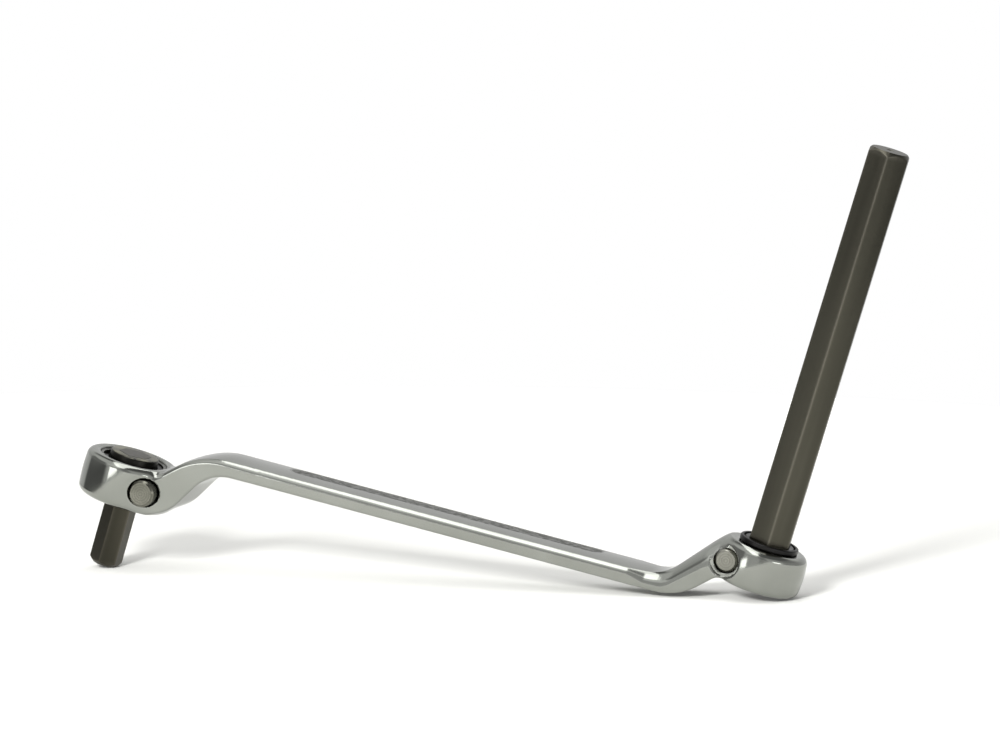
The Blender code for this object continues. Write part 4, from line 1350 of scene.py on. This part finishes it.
def pale_floor():
    """Disc under the spanner: pale, and lifted to white for the camera, more so at its rim."""
    angles = round_angles(FLOOR_COLUMNS)
    rim = np.stack((np.cos(angles), np.sin(angles), 0 * angles), 1) * FLOOR_RADIUS + FLOOR_CENTRE
    mesh = bpy.data.meshes.new("floor")
    mesh.from_pydata(rim.tolist(), [], [list(range(FLOOR_COLUMNS))])
    floor = link_object("floor", mesh)
    material, tree, shader = new_material("pale_floor")
    place = tree.nodes.new("ShaderNodeTexCoord").outputs["Object"]
    reach = add_node(tree, "VectorMath", {0: place, 1: FLOOR_CENTRE}, operation="DISTANCE")
    glow = ranged(tree, reach.outputs["Value"], FLOOR_FADE, FLOOR_GLOW, "SMOOTHSTEP")
    for socket, value in (("Base Color", (0.73, 0.73, 0.705, 1)), ("Roughness", 0.9),
                          ("Specular IOR Level", 0.0), ("Emission Color", (1, 1, 1, 1)),
                          ("Emission Strength", product(tree, glow, seen_by_camera(tree)))):
        plug(tree, shader.inputs[socket], value)
    mesh.materials.append(material)
    print(f"floor: {FLOOR_RADIUS * 2:.2f} m across")


pale_floor()

# %% [markdown]
# ## The room
#
# Chrome shows the room it stands in, so most of its look is the world. The world is white to the
# camera. To everything else it is a room of bands: round the spanner each band is a row of light
# and dark stops, and five bands lie over each other from the ground to the ceiling. A picture of a
# room would do the same, but stops that are written down can be read and changed.

# %% World: a room of bands
GROUND = ((-180, 0.7), (-125, 0.7), (-112, 0.2), (-64, 0.2), (-54, 0.8), (15, 0.9), (30, 0.3),
          (110, 0.3), (140, 0.7), (180, 0.7))
HORIZON = ((-180, 0.75), (-124, 0.8), (-118, 0.18), (-64, 0.18), (-57, 0.8), (-20, 0.8), (-14, 0.5),
           (2, 0.5), (10, 0.9), (50, 0.9), (60, 0.6), (110, 0.6), (135, 0.75), (180, 0.75))
WALLS = ((-180, 0.72), (-124, 0.7), (-118, 0.35), (-64, 0.35), (-57, 0.8), (-20, 0.7), (-14, 0.4),
         (2, 0.4), (10, 0.8), (50, 0.8), (60, 0.5), (110, 0.5), (135, 0.72), (180, 0.72))
UPPER = ((-180, 0.9), (-124, 0.8), (-114, 0.35), (-64, 0.35), (-54, 1.2), (-22, 1.3), (-14, 0.6),
         (2, 0.4), (10, 0.7), (50, 0.6), (60, 0.4), (110, 0.4), (135, 0.9), (180, 0.9))
CEILING = ((-180, 0.2), (-165, 0.2), (-130, 1.0), (-50, 1.0), (-26, 1.4), (0, 0.2), (180, 0.2))
BAND_EDGES = ((-0.12, -0.02), (0.08, 0.2), (0.38, 0.5), (0.60, 0.74))


def band(tree, turn, stops):
    """Brightness round the spanner: a colour ramp over stops of degrees from the camera's side."""
    ramp = tree.nodes.new("ShaderNodeValToRGB")
    elements = ramp.color_ramp.elements
    while len(elements) < len(stops):
        elements.new(0.5)
    for element, (degrees, level) in zip(elements, stops):
        element.position = degrees / 360 + 0.5
        element.color = (level, level, level, 1)
    plug(tree, ramp.inputs["Fac"], turn)
    return ramp.outputs["Color"]


def studio_world():
    """White to the camera; to other rays bands by direction, blended from the ground upwards."""
    world = bpy.data.worlds.new("studio")
    bpy.context.scene.world = world
    world.use_nodes = True
    tree = world.node_tree
    tree.nodes.clear()
    place = tree.nodes.new("ShaderNodeTexCoord").outputs["Generated"]
    ways = ((math.cos(AZIMUTH), math.sin(AZIMUTH), 0), (math.sin(AZIMUTH), -math.cos(AZIMUTH), 0),
            (0, 0, 1))
    right, near, up = (add_node(tree, "VectorMath", {0: place, 1: way},
                                operation="DOT_PRODUCT").outputs["Value"] for way in ways)
    angle = add_node(tree, "Math", {0: right, 1: near}, operation="ARCTAN2").outputs["Value"]
    turn = ranged(tree, angle, (-math.pi, math.pi))
    level = band(tree, turn, GROUND)
    for stops, edges in zip((HORIZON, WALLS, UPPER, CEILING), BAND_EDGES):
        rise = ranged(tree, up, edges, step="SMOOTHSTEP")
        level = mixed(tree, rise, level, band(tree, turn, stops))
    room, white = (add_node(tree, "Background", {"Color": colour}).outputs["Background"]
                   for colour in (level, (1, 1, 1, 1)))
    both = add_node(tree, "MixShader", {"Fac": seen_by_camera(tree), 1: room, 2: white})
    add_node(tree, "OutputWorld", {"Surface": both.outputs["Shader"]})


studio_world()
print(f"world: {len(HORIZON)} stops along the horizon")

# %% [markdown]
# ## Lamps
#
# One soft lamp at the front left throws the shadow. Its mirror image would break into single bright
# pixels on the narrow rims round the pins, so reflections don't show it. A long strip overhead
# lights the upper faces, and two small weak cards lift the sides of the heads. A single large lamp
# would be simpler, but would leave the shadow without a shape.

# %% Lamps
LAMP_TARGET = Vector((0, 0, 0.03))


def add_lamp(name, turn_deg, height_deg, distance, size, power):
    """Soft rectangular lamp at an angle from the camera's side, facing the spanner."""
    data = bpy.data.lights.new(name, "AREA")
    data.shape = "RECTANGLE"
    data.size, data.size_y = size
    data.energy = power
    lamp = link_object(name, data)
    aim(lamp, LAMP_TARGET, math.radians(turn_deg) + AZIMUTH, math.radians(height_deg), distance)
    return lamp


front_key = add_lamp("front_key", turn_deg=-19, height_deg=24, distance=1.0, size=(0.18, 0.20),
                     power=15.0)
front_key.visible_glossy = False
add_lamp("overhead_strip", turn_deg=-107.8, height_deg=89.5, distance=0.9, size=(1.9, 0.36),
         power=5.3)
add_lamp("left_card", turn_deg=-51, height_deg=1.5, distance=0.395, size=(0.12, 0.07), power=0.09)
add_lamp("right_card", turn_deg=38, height_deg=2, distance=0.40, size=(0.14, 0.08), power=0.10)
